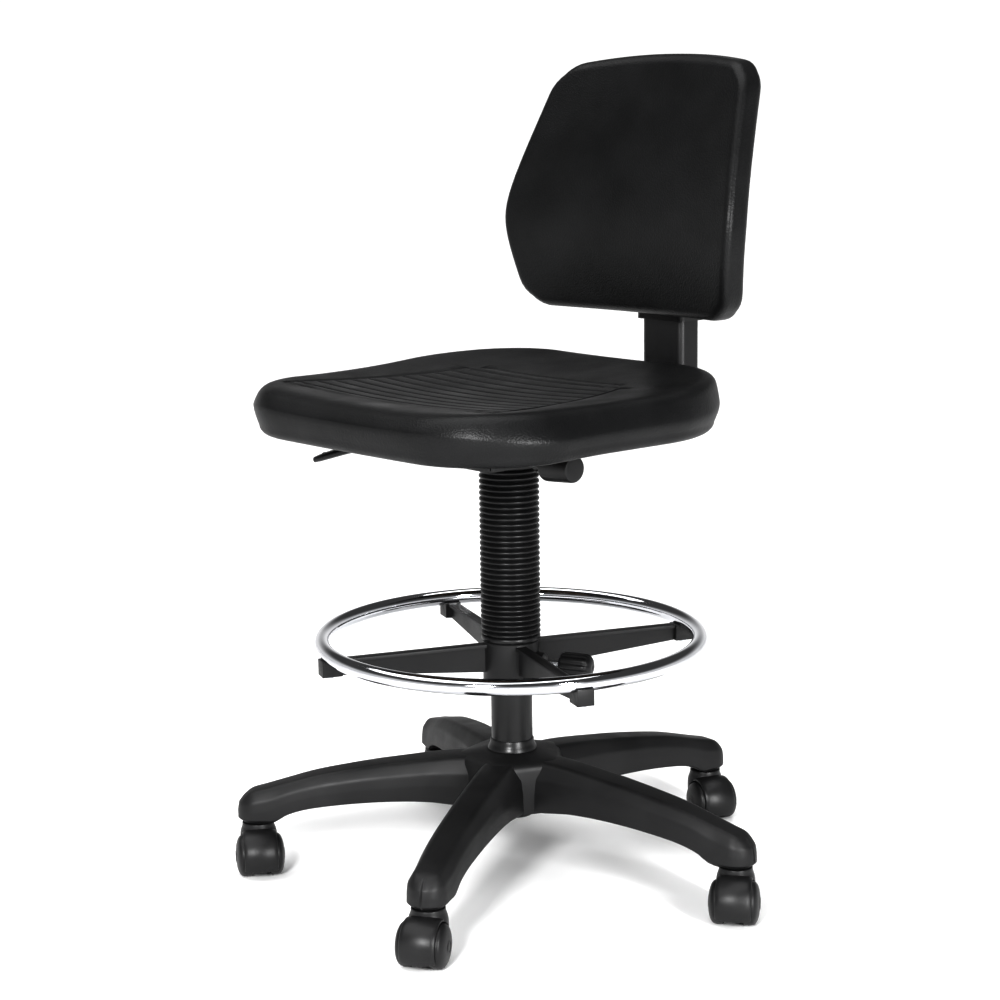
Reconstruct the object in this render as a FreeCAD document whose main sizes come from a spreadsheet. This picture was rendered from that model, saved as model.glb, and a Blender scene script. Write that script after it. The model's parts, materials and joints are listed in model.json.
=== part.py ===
import FreeCAD, Part
import math
import os
import re
import Sketcher

# A drafting chair on a five-star caster base: gas column in a bellows cover, clamped footring,
# moulded seat and a backrest on a rear bar. Millimetres, +Z up, origin on the floor on the column
# axis. The sitter faces -Y and the sitter's left hand is towards +X.

os.makedirs("parts", exist_ok=True)
doc = FreeCAD.newDocument("drafting_chair")
sheet = doc.addObject("Spreadsheet::Sheet", "Sizes")

driving_sizes = {
    # five-star base
    "arm_reach": 312,
    "arm_turn": 12.4,
    "arm_root_width": 60,
    "arm_tip_width": 47,
    "arm_tip_depth": 36,
    "arm_underside": 64,
    "arm_arch": 19,
    "arm_wall": 4,
    "hub_width": 72,
    "hub_top": 150,
    "hub_bottom": 66,
    # casters
    "wheel_diameter": 50,
    "wheel_width": 18.5,
    "wheel_tread": 9,
    "wheel_space": 22,
    "caster_trail": 20,
    "caster_axle_diameter": 6,
    "caster_stem_diameter": 11,
    "caster_stem_grip": 24,
    "caster_neck_diameter": 38.5,
    "hood_wall": 2,
    "hood_gap": 1.2,
    "hood_lift": 11,
    # column and gas lift
    "column_diameter": 50,
    "column_wall": 2,
    "column_top": 430,
    "lift_diameter": 28,
    "lift_wall": 2.5,
    "lift_stroke": 200,
    "rod_diameter": 10,
    "lift_headroom": 14,
    "valve_button_diameter": 8,
    "valve_travel": 4,
    "socket_drop": 49,
    # bellows
    "bellows_diameter": 72,
    "bellows_fold_depth": 3,
    "bellows_pitch": 7,
    "bellows_wall": 1.2,
    # footring
    "ring_radius": 226.9,
    "ring_tube": 19,
    "ring_height": 288,
    "ring_hub_diameter": 68,
    "ring_hub_bottom": 228,
    "ring_hub_top": 287,
    "ring_turn": 68.2,
    "spoke_thickness": 5,
    "spoke_flange_width": 13,
    "spoke_root_depth": 35,
    "spoke_tip_depth": 19,
    "ring_saddle": 4.5,
    "ring_knob_diameter": 30,
    "ring_knob_length": 40,
    "ring_knob_reach": 66,
    "ring_screw_diameter": 5,
    "clamp_screw_diameter": 8,
    "clamp_screw_grip": 8,
    # seat
    "seat_underside": 546,
    "seat_thickness": 47,
    "seat_rear_rise": 23,
    "seat_dish_set": -60,
    "seat_front": 259,
    "seat_rear": 191,
    "seat_front_width": 481,
    "seat_rear_width": 508,
    "seat_front_corner": 122,
    "seat_rear_corner": 157,
    "seat_edge_round": 24,
    "pan_thickness": 9,
    "pan_width": 290,
    "pan_margin": 60,
    # mechanism under the seat
    "plate_length": 200,
    "plate_width": 176,
    "plate_thickness": 3,
    "housing_width": 96,
    "housing_front": 72,
    "housing_rear": 96,
    "housing_depth": 40,
    "housing_wall": 2.5,
    "seat_bolt_diameter": 8,
    "lever_reach": 247,
    "lever_turn": 211.8,
    "lever_pivot": 44,
    "lever_rod": 8,
    "lever_pin_diameter": 5,
    "lever_fall": 34,
    "back_pivot_set": 80,
    "back_pivot_diameter": 12,
    "angle_screw_diameter": 10,
    "angle_knob_diameter": 33,
    "angle_knob_length": 44,
    "angle_knob_set": -27,
    "angle_knob_reach": 80,
    "angle_knob_drop": 33,
    # back bar and backrest
    "bar_set": 277,
    "bar_cover_width": 70,
    "bar_cover_depth": 35,
    "bar_steel_width": 46,
    "bar_steel_depth": 10,
    "bar_bend": 60,
    "bar_drop": 24.5,
    "bar_rise": 254,
    "slider_rise": 104,
    "slider_length": 120,
    "slider_wall": 5,
    "back_rise": 116,
    "back_height": 314,
    "lumbar_rise": 231,
    "back_width_bottom": 346,
    "back_width_lumbar": 401,
    "back_width_top": 321,
    "back_corner": 36,
    "back_thickness": 39,
    "back_forward": 103.2,
    "back_lean": 72,
    "back_foot_lean": 20,
    "back_hollow": 31,
    "insert_rise": 144,
    "insert_height": 70,
    "insert_width": 112,
    "insert_depth": 33,
    "back_screw_diameter": 6,
    "back_screw_length": 20,
    "back_knob_diameter": 40,
    "back_knob_length": 22,
    # clearances
    "running_gap": 0.05,
    "soft_gap": 0.4,
    "slide_gap": 0.3,
}
for row, (alias, number) in enumerate(driving_sizes.items(), start=1):
    sheet.set(f"A{row}", alias)
    sheet.set(f"B{row}", str(number))
    sheet.setAlias(f"B{row}", alias)
doc.recompute()

alias_word = re.compile(r"\b[a-z_]+[a-z0-9_]*\b")
nodes = []

# heights that follow the seat's underside
followers = {
    "socket_mouth": "(seat_underside - socket_drop)",
    "angle_knob_height": "(seat_underside - angle_knob_drop)",
    "bar_top": "(seat_underside + bar_rise)",
    "slider_bottom": "(seat_underside + slider_rise)",
    "back_bottom": "(seat_underside + back_rise)",
    "back_top": "(seat_underside + back_rise + back_height)",
    "back_lumbar_height": "(seat_underside + lumbar_rise)",
    "insert_bottom": "(seat_underside + insert_rise)",
}


def formula(text):
    """An expression with its heights written out and each size's name prefixed by the sheet's name."""
    written = alias_word.sub(lambda m: followers.get(m[0], m[0]), str(text))
    return alias_word.sub(lambda m: "Sizes." + m[0] if m[0] in driving_sizes else m[0], written)


def number(text):
    result = sheet.evalExpression(formula(text))
    return float(getattr(result, "Value", result))


def bind(thing, **formulas):
    for name, text in formulas.items():
        thing.setExpression(name.replace("__", "."), formula(text))
    return thing


def place(thing, x="0", y="0", z="0", axis=None, angle=None):
    """Put a thing at x, y, z, turned by an angle in degrees about an axis."""
    if axis is not None:
        thing.Placement.Rotation = FreeCAD.Rotation(FreeCAD.Vector(*axis), number(angle))
        bind(thing, Placement__Rotation__Angle=angle)
    return bind(thing, Placement__Base__x=x, Placement__Base__y=y, Placement__Base__z=z)


def keep(thing, label):
    """Name a finished sub-part, which is one node of the assembly."""
    thing.Label = label
    nodes.append(thing)
    return thing


# ---- Part primitives and booleans ----

def solid(kind, name, **formulas):
    return bind(doc.addObject("Part::" + kind, name), **formulas)


def cut(name, base, *tools):
    result = base
    for index, tool in enumerate(tools, start=1):
        step = doc.addObject("Part::Cut", name if index == len(tools) else f"{name}_cut{index}")
        step.Base = result
        step.Tool = tool
        result = step
    return result


def fuse(name, *shapes):
    result = doc.addObject("Part::MultiFuse", name)
    result.Shapes = list(shapes)
    return result


def group(name, things):
    """Identical pieces that share one node as separate solids."""
    result = doc.addObject("Part::Compound", name)
    result.Links = list(things)
    return result


# ---- PartDesign bodies ----

def origin_part(body, role):
    return next(part for part in body.Origin.OriginFeatures if part.Role == role)


def new_body(name):
    return doc.addObject("PartDesign::Body", name)


def outline(body, role, points, offset=None, name="outline", shift=None):
    """A closed sketch of straight edges whose corners are bound to the sheet."""
    sketch = body.newObject("Sketcher::SketchObject", f"{body.Name}_{name}")
    sketch.AttachmentSupport = (origin_part(body, role), [""])
    sketch.MapMode = "FlatFace"
    if offset is not None:
        bind(sketch, AttachmentOffset__Base__z=offset)
    if shift is not None:
        bind(sketch, AttachmentOffset__Base__x=shift)
    corners = [FreeCAD.Vector(number(across), number(up), 0) for across, up in points]
    count = len(corners)
    for index in range(count):
        sketch.addGeometry(Part.LineSegment(corners[index], corners[(index + 1) % count]), False)
    for index in range(count):
        sketch.addConstraint(Sketcher.Constraint("Coincident", index, 2, (index + 1) % count, 1))
    for index, (across, up) in enumerate(points):
        for kind, text, axis, size in (("DistanceX", across, -2, corners[index].x),
                                       ("DistanceY", up, -1, corners[index].y)):
            if abs(size) < 1e-9:
                sketch.addConstraint(Sketcher.Constraint("PointOnObject", index, 1, axis))
                continue
            place_number = sketch.addConstraint(Sketcher.Constraint(kind, -1, 1, index, 1, size))
            sketch.setExpression(f"Constraints[{place_number}]", formula(text))
    return sketch


def disc(body, role, radius, across="0", up="0", offset=None, name="disc"):
    """A circular sketch bound to the sheet."""
    sketch = body.newObject("Sketcher::SketchObject", f"{body.Name}_{name}")
    sketch.AttachmentSupport = (origin_part(body, role), [""])
    sketch.MapMode = "FlatFace"
    if offset is not None:
        bind(sketch, AttachmentOffset__Base__z=offset)
    centre = FreeCAD.Vector(number(across), number(up), 0)
    sketch.addGeometry(Part.Circle(centre, FreeCAD.Vector(0, 0, 1), number(radius)), False)
    turn = sketch.addConstraint(Sketcher.Constraint("Radius", 0, number(radius)))
    sketch.setExpression(f"Constraints[{turn}]", formula(radius))
    for kind, text, axis, size in (("DistanceX", across, -2, centre.x), ("DistanceY", up, -1, centre.y)):
        if abs(size) < 1e-9:
            sketch.addConstraint(Sketcher.Constraint("PointOnObject", 0, 3, axis))
            continue
        place_number = sketch.addConstraint(Sketcher.Constraint(kind, -1, 1, 0, 3, size))
        sketch.setExpression(f"Constraints[{place_number}]", formula(text))
    return sketch


def feature(body, kind, profile, name, **formulas):
    result = body.newObject("PartDesign::" + kind, f"{body.Name}_{name}")
    result.Profile = profile
    bind(result, **formulas)
    body.Tip = result
    return result


def pad(body, profile, length, middle=True, name="pad"):
    result = feature(body, "Pad", profile, name, Length=length)
    result.Midplane = middle
    return result


def pocket(body, profile, length, middle=False, back=False, name="pocket"):
    """Cut away a profile, and make sure that it removed something."""
    doc.recompute()
    before = body.Shape.Volume
    result = feature(body, "Pocket", profile, name, Length=length)
    result.Midplane = middle
    result.Reversed = back
    doc.recompute()
    if not body.Shape.Volume < before:
        raise RuntimeError(f"{result.Name} cuts nothing")
    return result


def revolve(body, profile, kind="Revolution", name="turn", axis="V_Axis"):
    result = feature(body, kind, profile, name)
    result.ReferenceAxis = (profile, [axis])
    result.Angle = 360
    return result


def loft(body, sections, kind="AdditiveLoft", name="loft", ruled=False):
    result = feature(body, kind, sections[0], name)
    result.Sections = sections[1:]
    result.Ruled = ruled
    return result


def polar(body, originals, count, name="ring"):
    result = body.newObject("PartDesign::PolarPattern", f"{body.Name}_{name}")
    result.Originals = originals
    result.Axis = (origin_part(body, "Z_Axis"), [""])
    result.Angle = 360
    result.Occurrences = count
    body.Tip = result
    return result


def round_edges(body, radius, chosen, name="round"):
    """Round the edges of the body's tip that the test picks."""
    doc.recompute()
    tip = body.Tip
    picked = [f"Edge{i}" for i, edge in enumerate(tip.Shape.Edges, start=1) if chosen(edge)]
    result = body.newObject("PartDesign::Fillet", f"{body.Name}_{name}")
    result.Base = (tip, picked)
    bind(result, Radius=radius)
    body.Tip = result
    doc.recompute()
    return result


def turned(name, points):
    """A piece of revolution about its own Z axis, from radius and height corners."""
    body = new_body(name)
    revolve(body, outline(body, "XZ_Plane", points))
    return body


def is_upright(edge):
    start, end = edge.Vertexes[0].Point, edge.Vertexes[-1].Point
    return abs(start.x - end.x) < 0.01 and abs(start.y - end.y) < 0.01 and abs(start.z - end.z) > 1


# ---- five-star base ----

arm_count = 5


def arm_section(body, reach, top, bottom, half_width, inset, name):
    """A cross-section of an arm: a flat underside, upright sides and a bevelled top."""
    bevel = f"({half_width}) * 0.35"
    low, high, half = f"({bottom})", f"({top}) - ({inset})", f"(({half_width}) - ({inset}))"
    points = [(f"-{half}", low), (half, low), (half, f"{high} - {bevel}"), (f"{half} - {bevel}", high),
              (f"-{half} + {bevel}", high), (f"-{half}", f"{high} - {bevel}")]
    return outline(body, "YZ_Plane", points, reach, name)


def arm_sections(body, inset, drop, name):
    """Four stations along an arm, with its sides, top and underside set in by an inset."""
    stations = [
        ("hub_width * 0.2", "hub_top - 2", "hub_bottom", "arm_root_width / 2"),
        ("arm_reach * 0.36", "hub_top - 5", "arm_underside + arm_arch", "arm_root_width / 2"),
        ("arm_reach * 0.66", "hub_top - 21", "arm_underside + arm_arch * 0.8",
         "(arm_root_width * 0.4 + arm_tip_width * 0.6) / 2"),
        ("arm_reach", "arm_underside + arm_tip_depth", "arm_underside", "arm_tip_width / 2"),
    ]
    return [arm_section(body, reach, top, f"({bottom}) - ({drop})", half, inset, f"{name}{index}")
            for index, (reach, top, bottom, half) in enumerate(stations)]


star = new_body("star_casting")
revolve(star, outline(star, "XZ_Plane", [
    ("0", "hub_bottom"), ("hub_width / 2", "hub_bottom"), ("hub_width / 2", "hub_top - 6"),
    ("hub_width / 2 - 6", "hub_top"), ("0", "hub_top")]))
arm = loft(star, arm_sections(star, "0", "0", "arm"), name="arm")
tip_top = "(arm_underside + arm_tip_depth - 1)"
tip = revolve(star, outline(star, "XZ_Plane", [
    ("0", "arm_underside"), ("arm_tip_width / 2", "arm_underside"), ("arm_tip_width / 2", f"{tip_top} - 14"),
    ("arm_tip_width / 2 - 4", f"{tip_top} - 6"), ("arm_tip_width / 2 - 11", tip_top), ("0", tip_top)],
    name="tip", shift="arm_reach"), name="tip_turn")
polar(star, [arm, tip], arm_count, "arms")
hollow = loft(star, arm_sections(star, "arm_wall", "5", "hollow")[1:], "SubtractiveLoft", "hollow")
polar(star, [hollow], arm_count, "hollows")
boss = pad(star, disc(star, "XY_Plane", "caster_stem_diameter / 2 + 7", "arm_reach", "0", "arm_underside",
                      "boss"), "caster_stem_grip + 6", middle=False, name="boss_pad")
rib = pad(star, outline(star, "XZ_Plane", [
    ("hub_width / 2 - 2", "hub_bottom + 14"), ("arm_reach - 4", "arm_underside + 6"),
    ("arm_reach - 4", "arm_underside + arm_tip_depth - 6"), ("hub_width / 2 - 2", "hub_top - 12")],
    name="rib"), "arm_wall", name="rib_pad")
polar(star, [boss, rib], arm_count, "bosses")
stem_hole = pocket(star, disc(star, "XY_Plane", "caster_stem_diameter / 2 + running_gap", "arm_reach", "0",
                              "arm_underside - 1", "stem_hole"), "caster_stem_grip + 2", back=True,
                   name="stem_hole_cut")
polar(star, [stem_hole], arm_count, "stem_holes")
pocket(star, disc(star, "XY_Plane", "column_diameter / 2 + running_gap", offset="hub_bottom - 20",
                  name="column_hole"), "hub_top", back=True, name="column_hole_cut")
place(star, axis=(0, 0, 1), angle="arm_turn")
keep(star, "base_star")

# ---- casters ----

# trail directions, in degrees anticlockwise from +X, in the order of the arms
caster_turns = [308, 338, 318, 328, 303]
wheel_radius = "wheel_diameter / 2"
axle_height = wheel_radius
neck_top = "arm_underside - 1"
half_track = "(wheel_space / 2 + wheel_width)"
hood_radius = f"({wheel_radius} + hood_gap + hood_wall)"


def caster_place(thing, index):
    """Put a caster piece, drawn about its own stem axis, under its arm and turn it."""
    arm_angle = f"(arm_turn + {360 * index / arm_count})"
    return place(thing, f"arm_reach * cos({arm_angle})", f"arm_reach * sin({arm_angle})", "0",
                 (0, 0, 1), str(caster_turns[index]))


for index in range(arm_count):
    number_name = f"caster_{index + 1}"

    stem = turned(f"{number_name}_stem_turning", [
        ("0", "arm_underside - 22"), ("caster_stem_diameter / 2", "arm_underside - 22"),
        ("caster_stem_diameter / 2", neck_top), ("caster_stem_diameter / 2 + 2.5", neck_top),
        ("caster_stem_diameter / 2 + 2.5", "arm_underside"), ("caster_stem_diameter / 2", "arm_underside"),
        ("caster_stem_diameter / 2", "arm_underside + caster_stem_grip - 2"),
        ("caster_stem_diameter / 2 - 2", "arm_underside + caster_stem_grip"),
        ("0", "arm_underside + caster_stem_grip")])
    keep(caster_place(stem, index), f"{number_name}_stem")

    hood = new_body(f"{number_name}_hood_casting")
    pad(hood, disc(hood, "XZ_Plane", hood_radius, "caster_trail", axle_height, name="skin"),
        "wheel_space + wheel_tread * 2", name="skin_pad")
    neck = pad(hood, disc(hood, "XY_Plane", "caster_neck_diameter / 2", offset=axle_height, name="neck"),
               f"{neck_top} - 1 - {axle_height}", middle=False, name="neck_pad")
    for side, way in (("left", 1), ("right", -1)):
        wheel_well = disc(hood, "XZ_Plane", f"{wheel_radius} + hood_gap", "caster_trail", axle_height,
                          f"{-way} * wheel_space / 2", f"well_{side}")
        pocket(hood, wheel_well, f"{half_track} + 20", back=(way < 0), name=f"well_{side}_cut")
    pocket(hood, outline(hood, "XZ_Plane", [
        (f"caster_trail - {hood_radius} - 5", "-5"), (f"caster_trail + {hood_radius} + 5", "-5"),
        (f"caster_trail + {hood_radius} + 5", "hood_lift"), ("caster_trail - 6", "hood_lift"),
        ("caster_trail - 14", axle_height), (f"caster_trail - {hood_radius} - 5", axle_height)], name="foot"),
        f"{half_track} * 3", middle=True, name="foot_cut")
    pocket(hood, disc(hood, "XY_Plane", "caster_stem_diameter / 2 + running_gap",
                      offset="arm_underside - 23", name="stem_bore"), "40", back=True,
           name="stem_bore_cut")
    pocket(hood, disc(hood, "XZ_Plane", "caster_axle_diameter / 2", "caster_trail", axle_height,
                      name="axle_bore"), f"{half_track} * 3", middle=True, name="axle_bore_cut")
    keep(caster_place(hood, index), f"{number_name}_hood")

    axle = new_body(f"{number_name}_axle_turning")
    pad(axle, disc(axle, "XZ_Plane", "caster_axle_diameter / 2", "caster_trail", axle_height),
        "wheel_space + wheel_tread * 2 + (wheel_width - wheel_tread) * 0.9")
    keep(caster_place(axle, index), f"{number_name}_axle")

    for side, way in (("left", 1), ("right", -1)):
        near = f"{way} * (wheel_space / 2 + 0.4)"
        tread = f"{way} * (wheel_space / 2 + wheel_tread)"
        bulge = f"{way} * (wheel_width - wheel_tread)"
        wheel = turned(f"{number_name}_{side}_wheel_turning", [
            ("caster_axle_diameter / 2 + running_gap", near), (f"{wheel_radius} - 1.5", near),
            (wheel_radius, f"{near} + {way} * 1.5"), (wheel_radius, tread),
            (f"{wheel_radius} * 0.92", f"{tread} + {bulge} * 0.4"),
            (f"{wheel_radius} * 0.75", f"{tread} + {bulge} * 0.7"),
            (f"{wheel_radius} * 0.45", f"{tread} + {bulge} * 0.93"), ("0", f"{tread} + {bulge}"),
            ("0", f"{tread} + {bulge} * 0.5"),
            ("caster_axle_diameter / 2 + running_gap", f"{tread} + {bulge} * 0.5")])
        tilt = FreeCAD.Rotation(FreeCAD.Vector(1, 0, 0), -90)
        yaw = FreeCAD.Rotation(FreeCAD.Vector(0, 0, 1), caster_turns[index])
        wheel.Placement.Rotation = yaw.multiply(tilt)
        arm_angle = f"(arm_turn + {360 * index / arm_count})"
        bind(wheel,
             Placement__Base__x=f"arm_reach * cos({arm_angle}) + caster_trail * cos({caster_turns[index]})",
             Placement__Base__y=f"arm_reach * sin({arm_angle}) + caster_trail * sin({caster_turns[index]})",
             Placement__Base__z=axle_height)
        keep(wheel, f"{number_name}_{side}_wheel")

# ---- column and gas lift ----

column_bore = "(column_diameter / 2 - column_wall)"
column_foot = "(hub_bottom + 2)"
column = turned("column_turning", [
    ("rod_diameter / 2 + running_gap", column_foot), ("column_diameter / 2", column_foot),
    ("column_diameter / 2", "column_top"), (column_bore, "column_top"),
    (column_bore, f"{column_foot} + 5"), ("rod_diameter / 2 + running_gap", f"{column_foot} + 5")])
keep(column, "column_tube")

skirt = turned("skirt_turning", [
    ("column_diameter / 2 + running_gap", "hub_top"), ("column_diameter / 2 + 5", "hub_top"),
    ("column_diameter / 2 + 1.5", "hub_top + 7"), ("column_diameter / 2 + running_gap", "hub_top + 7")])
keep(skirt, "column_skirt")

bushing = turned("bushing_turning", [
    ("lift_diameter / 2 + running_gap", "column_top - 70"), (column_bore, "column_top - 70"),
    (column_bore, "column_top"), ("column_diameter / 2", "column_top"),
    ("column_diameter / 2", "column_top + 3"), ("lift_diameter / 2 + running_gap", "column_top + 3")])
keep(bushing, "column_bushing")

bearing_foot = f"({column_foot} + 5)"
bearing = turned("bearing_turning", [
    ("rod_diameter / 2 + running_gap", bearing_foot), ("rod_diameter / 2 + 8", bearing_foot),
    ("rod_diameter / 2 + 8", f"{bearing_foot} + 6"),
    ("rod_diameter / 2 + running_gap", f"{bearing_foot} + 6")])
keep(bearing, "thrust_bearing")

# the lift's tube closes around the rod below, and its piston stays inside at full stroke
lift_foot = f"({bearing_foot} + 26)"
piston_foot = f"({lift_foot} + lift_stroke + 11)"
rod = turned("rod_turning", [
    ("0", f"{column_foot} - 7"), ("rod_diameter / 2", f"{column_foot} - 7"),
    ("rod_diameter / 2", f"{bearing_foot} + 6.1"), ("rod_diameter / 2 + 3", f"{bearing_foot} + 6.1"),
    ("rod_diameter / 2 + 3", f"{bearing_foot} + 10"), ("rod_diameter / 2", f"{bearing_foot} + 10"),
    ("rod_diameter / 2", piston_foot), ("lift_diameter / 2 - lift_wall - running_gap", piston_foot),
    ("lift_diameter / 2 - lift_wall - running_gap", f"{piston_foot} + 12"), ("0", f"{piston_foot} + 12")])
keep(rod, "piston_rod")

clip = turned("clip_turning", [
    ("rod_diameter / 2", f"{column_foot} - 4"), ("rod_diameter / 2 + 5", f"{column_foot} - 4"),
    ("rod_diameter / 2 + 5", f"{column_foot} - 2.2"), ("rod_diameter / 2", f"{column_foot} - 2.2")])
keep(clip, "rod_clip")

# the top of the lift's tube narrows by a taper that wedges into the socket
lift_top = "(seat_underside - plate_thickness - lift_headroom)"
lift_taper = "1.2"
button_radius = "(valve_button_diameter / 2)"
cylinder = turned("cylinder_turning", [
    ("rod_diameter / 2 + running_gap", lift_foot), ("lift_diameter / 2", lift_foot),
    ("lift_diameter / 2", "socket_mouth"), (f"lift_diameter / 2 - {lift_taper}", lift_top),
    (f"{button_radius} + running_gap", lift_top), (f"{button_radius} + running_gap", f"{lift_top} - 22"),
    ("0", f"{lift_top} - 22"), ("0", f"{lift_top} - 30"),
    ("lift_diameter / 2 - lift_wall", f"{lift_top} - 30"),
    ("lift_diameter / 2 - lift_wall", f"{lift_foot} + 8"),
    ("rod_diameter / 2 + running_gap", f"{lift_foot} + 8")])
keep(cylinder, "gas_cylinder")

button_foot = f"{lift_top} - 22 + valve_travel + 0.5"
button = turned("button_turning", [
    ("0", button_foot), (button_radius, button_foot),
    (button_radius, f"{lift_top} + valve_travel"), ("0", f"{lift_top} + valve_travel")])
keep(button, "valve_button")

# ---- bellows: a zigzag wall turned about the column ----

bellows_foot = number("ring_hub_top + slide_gap")
bellows_head = number("seat_underside - plate_thickness - housing_depth - slide_gap")
bellows_outer = number("bellows_diameter / 2")
fold_depth = number("bellows_fold_depth")
fold_count = round((bellows_head - bellows_foot) / number("bellows_pitch"))
fold_pitch = (bellows_head - bellows_foot) / fold_count
outside = []
for fold in range(fold_count):
    fold_foot = bellows_foot + fold * fold_pitch
    outside.append(FreeCAD.Vector(bellows_outer - fold_depth, 0, fold_foot))
    outside.append(FreeCAD.Vector(bellows_outer, 0, fold_foot + fold_pitch / 2))
outside.append(FreeCAD.Vector(bellows_outer - fold_depth, 0, bellows_head))
wall_set = FreeCAD.Vector(number("bellows_wall"), 0, 0)
inside = [point - wall_set for point in reversed(outside)]
bellows_section = Part.Face(Part.makePolygon(outside + inside + outside[:1]))
bellows = doc.addObject("Part::Feature", "bellows_turning")
bellows.Shape = bellows_section.revolve(FreeCAD.Vector(0, 0, 0), FreeCAD.Vector(0, 0, 1), 360)
keep(bellows, "bellows_cover")

# ---- footring ----

spoke_count = 4
tube_radius = "ring_tube / 2"
spoke_hub = new_body("ring_hub_casting")
revolve(spoke_hub, outline(spoke_hub, "XZ_Plane", [
    ("column_diameter / 2 + slide_gap", "ring_hub_bottom"), ("ring_hub_diameter / 2 - 2", "ring_hub_bottom"),
    ("ring_hub_diameter / 2", "ring_hub_bottom + 2"), ("ring_hub_diameter / 2", "ring_hub_top - 2"),
    ("ring_hub_diameter / 2 - 2", "ring_hub_top"), ("column_diameter / 2 + slide_gap", "ring_hub_top")]))
spoke_top = "(ring_height - ring_tube / 2 + ring_saddle)"
web = pad(spoke_hub, outline(spoke_hub, "XZ_Plane", [
    ("ring_hub_diameter / 2 - 3", f"{spoke_top} - spoke_root_depth"),
    ("ring_radius - 9", f"{spoke_top} - spoke_tip_depth"), ("ring_radius - 9", f"{spoke_top} - 1"),
    ("ring_hub_diameter / 2 - 3", f"{spoke_top} - 1")], name="web"), "spoke_thickness", name="web_pad")
flange = pad(spoke_hub, outline(spoke_hub, "XZ_Plane", [
    ("ring_hub_diameter / 2 - 3", f"{spoke_top} - 4"), ("ring_radius", f"{spoke_top} - 4"),
    ("ring_radius", spoke_top), ("ring_hub_diameter / 2 - 3", spoke_top)], name="flange"),
    "spoke_flange_width", name="flange_pad")
block = pad(spoke_hub, outline(spoke_hub, "XZ_Plane", [
    ("ring_radius - 13", f"{spoke_top} - spoke_tip_depth"),
    ("ring_radius + 11", f"{spoke_top} - spoke_tip_depth"),
    ("ring_radius + 11", spoke_top), ("ring_radius - 13", spoke_top)], name="block"),
    "spoke_flange_width + 7", name="block_pad")
polar(spoke_hub, [web, flange, block], spoke_count, "spokes")
screw_circle = disc(spoke_hub, "XY_Plane", "ring_screw_diameter / 2 + 0.1", "ring_radius", "0",
                    f"{spoke_top} - spoke_tip_depth - 1", "screw_hole")
screw_hole = pocket(spoke_hub, screw_circle, "40", back=True, name="screw_hole_cut")
polar(spoke_hub, [screw_hole], spoke_count, "screw_holes")
place(spoke_hub, axis=(0, 0, 1), angle="ring_turn")

knob_turn = f"(ring_turn - {180 / spoke_count})"
knob_height = "(ring_hub_bottom + (ring_hub_top - ring_hub_bottom) * 0.55)"


def along_ring_knob(kind, name, start, **formulas):
    """A round piece along the clamp screw's axis, from a distance out from the column's."""
    piece = solid(kind, name, **formulas)
    out = FreeCAD.Rotation(FreeCAD.Vector(0, 1, 0), 90)
    turn = FreeCAD.Rotation(FreeCAD.Vector(0, 0, 1), number(knob_turn))
    piece.Placement.Rotation = turn.multiply(out)
    return bind(piece, Placement__Base__x=f"({start}) * cos({knob_turn})",
                Placement__Base__y=f"({start}) * sin({knob_turn})", Placement__Base__z=knob_height)


clamp_boss = along_ring_knob("Cone", "clamp_boss", "ring_hub_diameter / 2 - 4", Radius1="13", Radius2="11",
                             Height="14")
ring_tool = solid("Torus", "ring_seat_tool", Radius1="ring_radius", Radius2=f"{tube_radius} + running_gap")
place(ring_tool, z="ring_height")
clamp_bore = along_ring_knob("Cylinder", "clamp_bore", "column_diameter / 2 - 2",
                             Radius="clamp_screw_diameter / 2 + running_gap", Height="40")
keep(cut("footring_hub_cut", fuse("footring_hub_fused", spoke_hub, clamp_boss), ring_tool, clamp_bore),
     "footring_hub")

screw_tools = []
ring_screws = []
for index in range(spoke_count):
    angle = f"(ring_turn + {360 * index / spoke_count})"
    at = {"x": f"ring_radius * cos({angle})", "y": f"ring_radius * sin({angle})"}
    shank = place(solid("Cylinder", f"ring_screw_shank{index}", Radius="ring_screw_diameter / 2",
                        Height="spoke_tip_depth + 2"),
                  z=f"{spoke_top} - spoke_tip_depth", **at)
    head = place(solid("Cylinder", f"ring_screw_head{index}", Radius="ring_screw_diameter * 0.9",
                       Height="3"), z=f"{spoke_top} - spoke_tip_depth - 3", **at)
    ring_screws.append(fuse(f"ring_screw{index}", shank, head))
    drill = solid("Cylinder", f"ring_screw_hole{index}", Radius="ring_screw_diameter / 2 + running_gap",
                  Height="ring_tube / 2 + 4")
    screw_tools.append(place(drill, z="ring_height - ring_tube / 2 - 2", **at))
keep(group("ring_screw_group", ring_screws), "footring_screws")

ring_outer = place(solid("Torus", "ring_bar", Radius1="ring_radius", Radius2=tube_radius), z="ring_height")
ring_inner = place(solid("Torus", "ring_bore", Radius1="ring_radius", Radius2=f"{tube_radius} - 1.5"),
                   z="ring_height")
keep(cut("footring_cut", ring_outer, ring_inner, *screw_tools), "footring_tube")

clamp_start = "(column_diameter / 2 + 0.2)"
clamp_screw = along_ring_knob("Cylinder", "clamp_screw_bar", clamp_start, Radius="clamp_screw_diameter / 2",
                              Height=f"ring_knob_reach + clamp_screw_grip - {clamp_start}")
keep(clamp_screw, "footring_clamp_screw")


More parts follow.
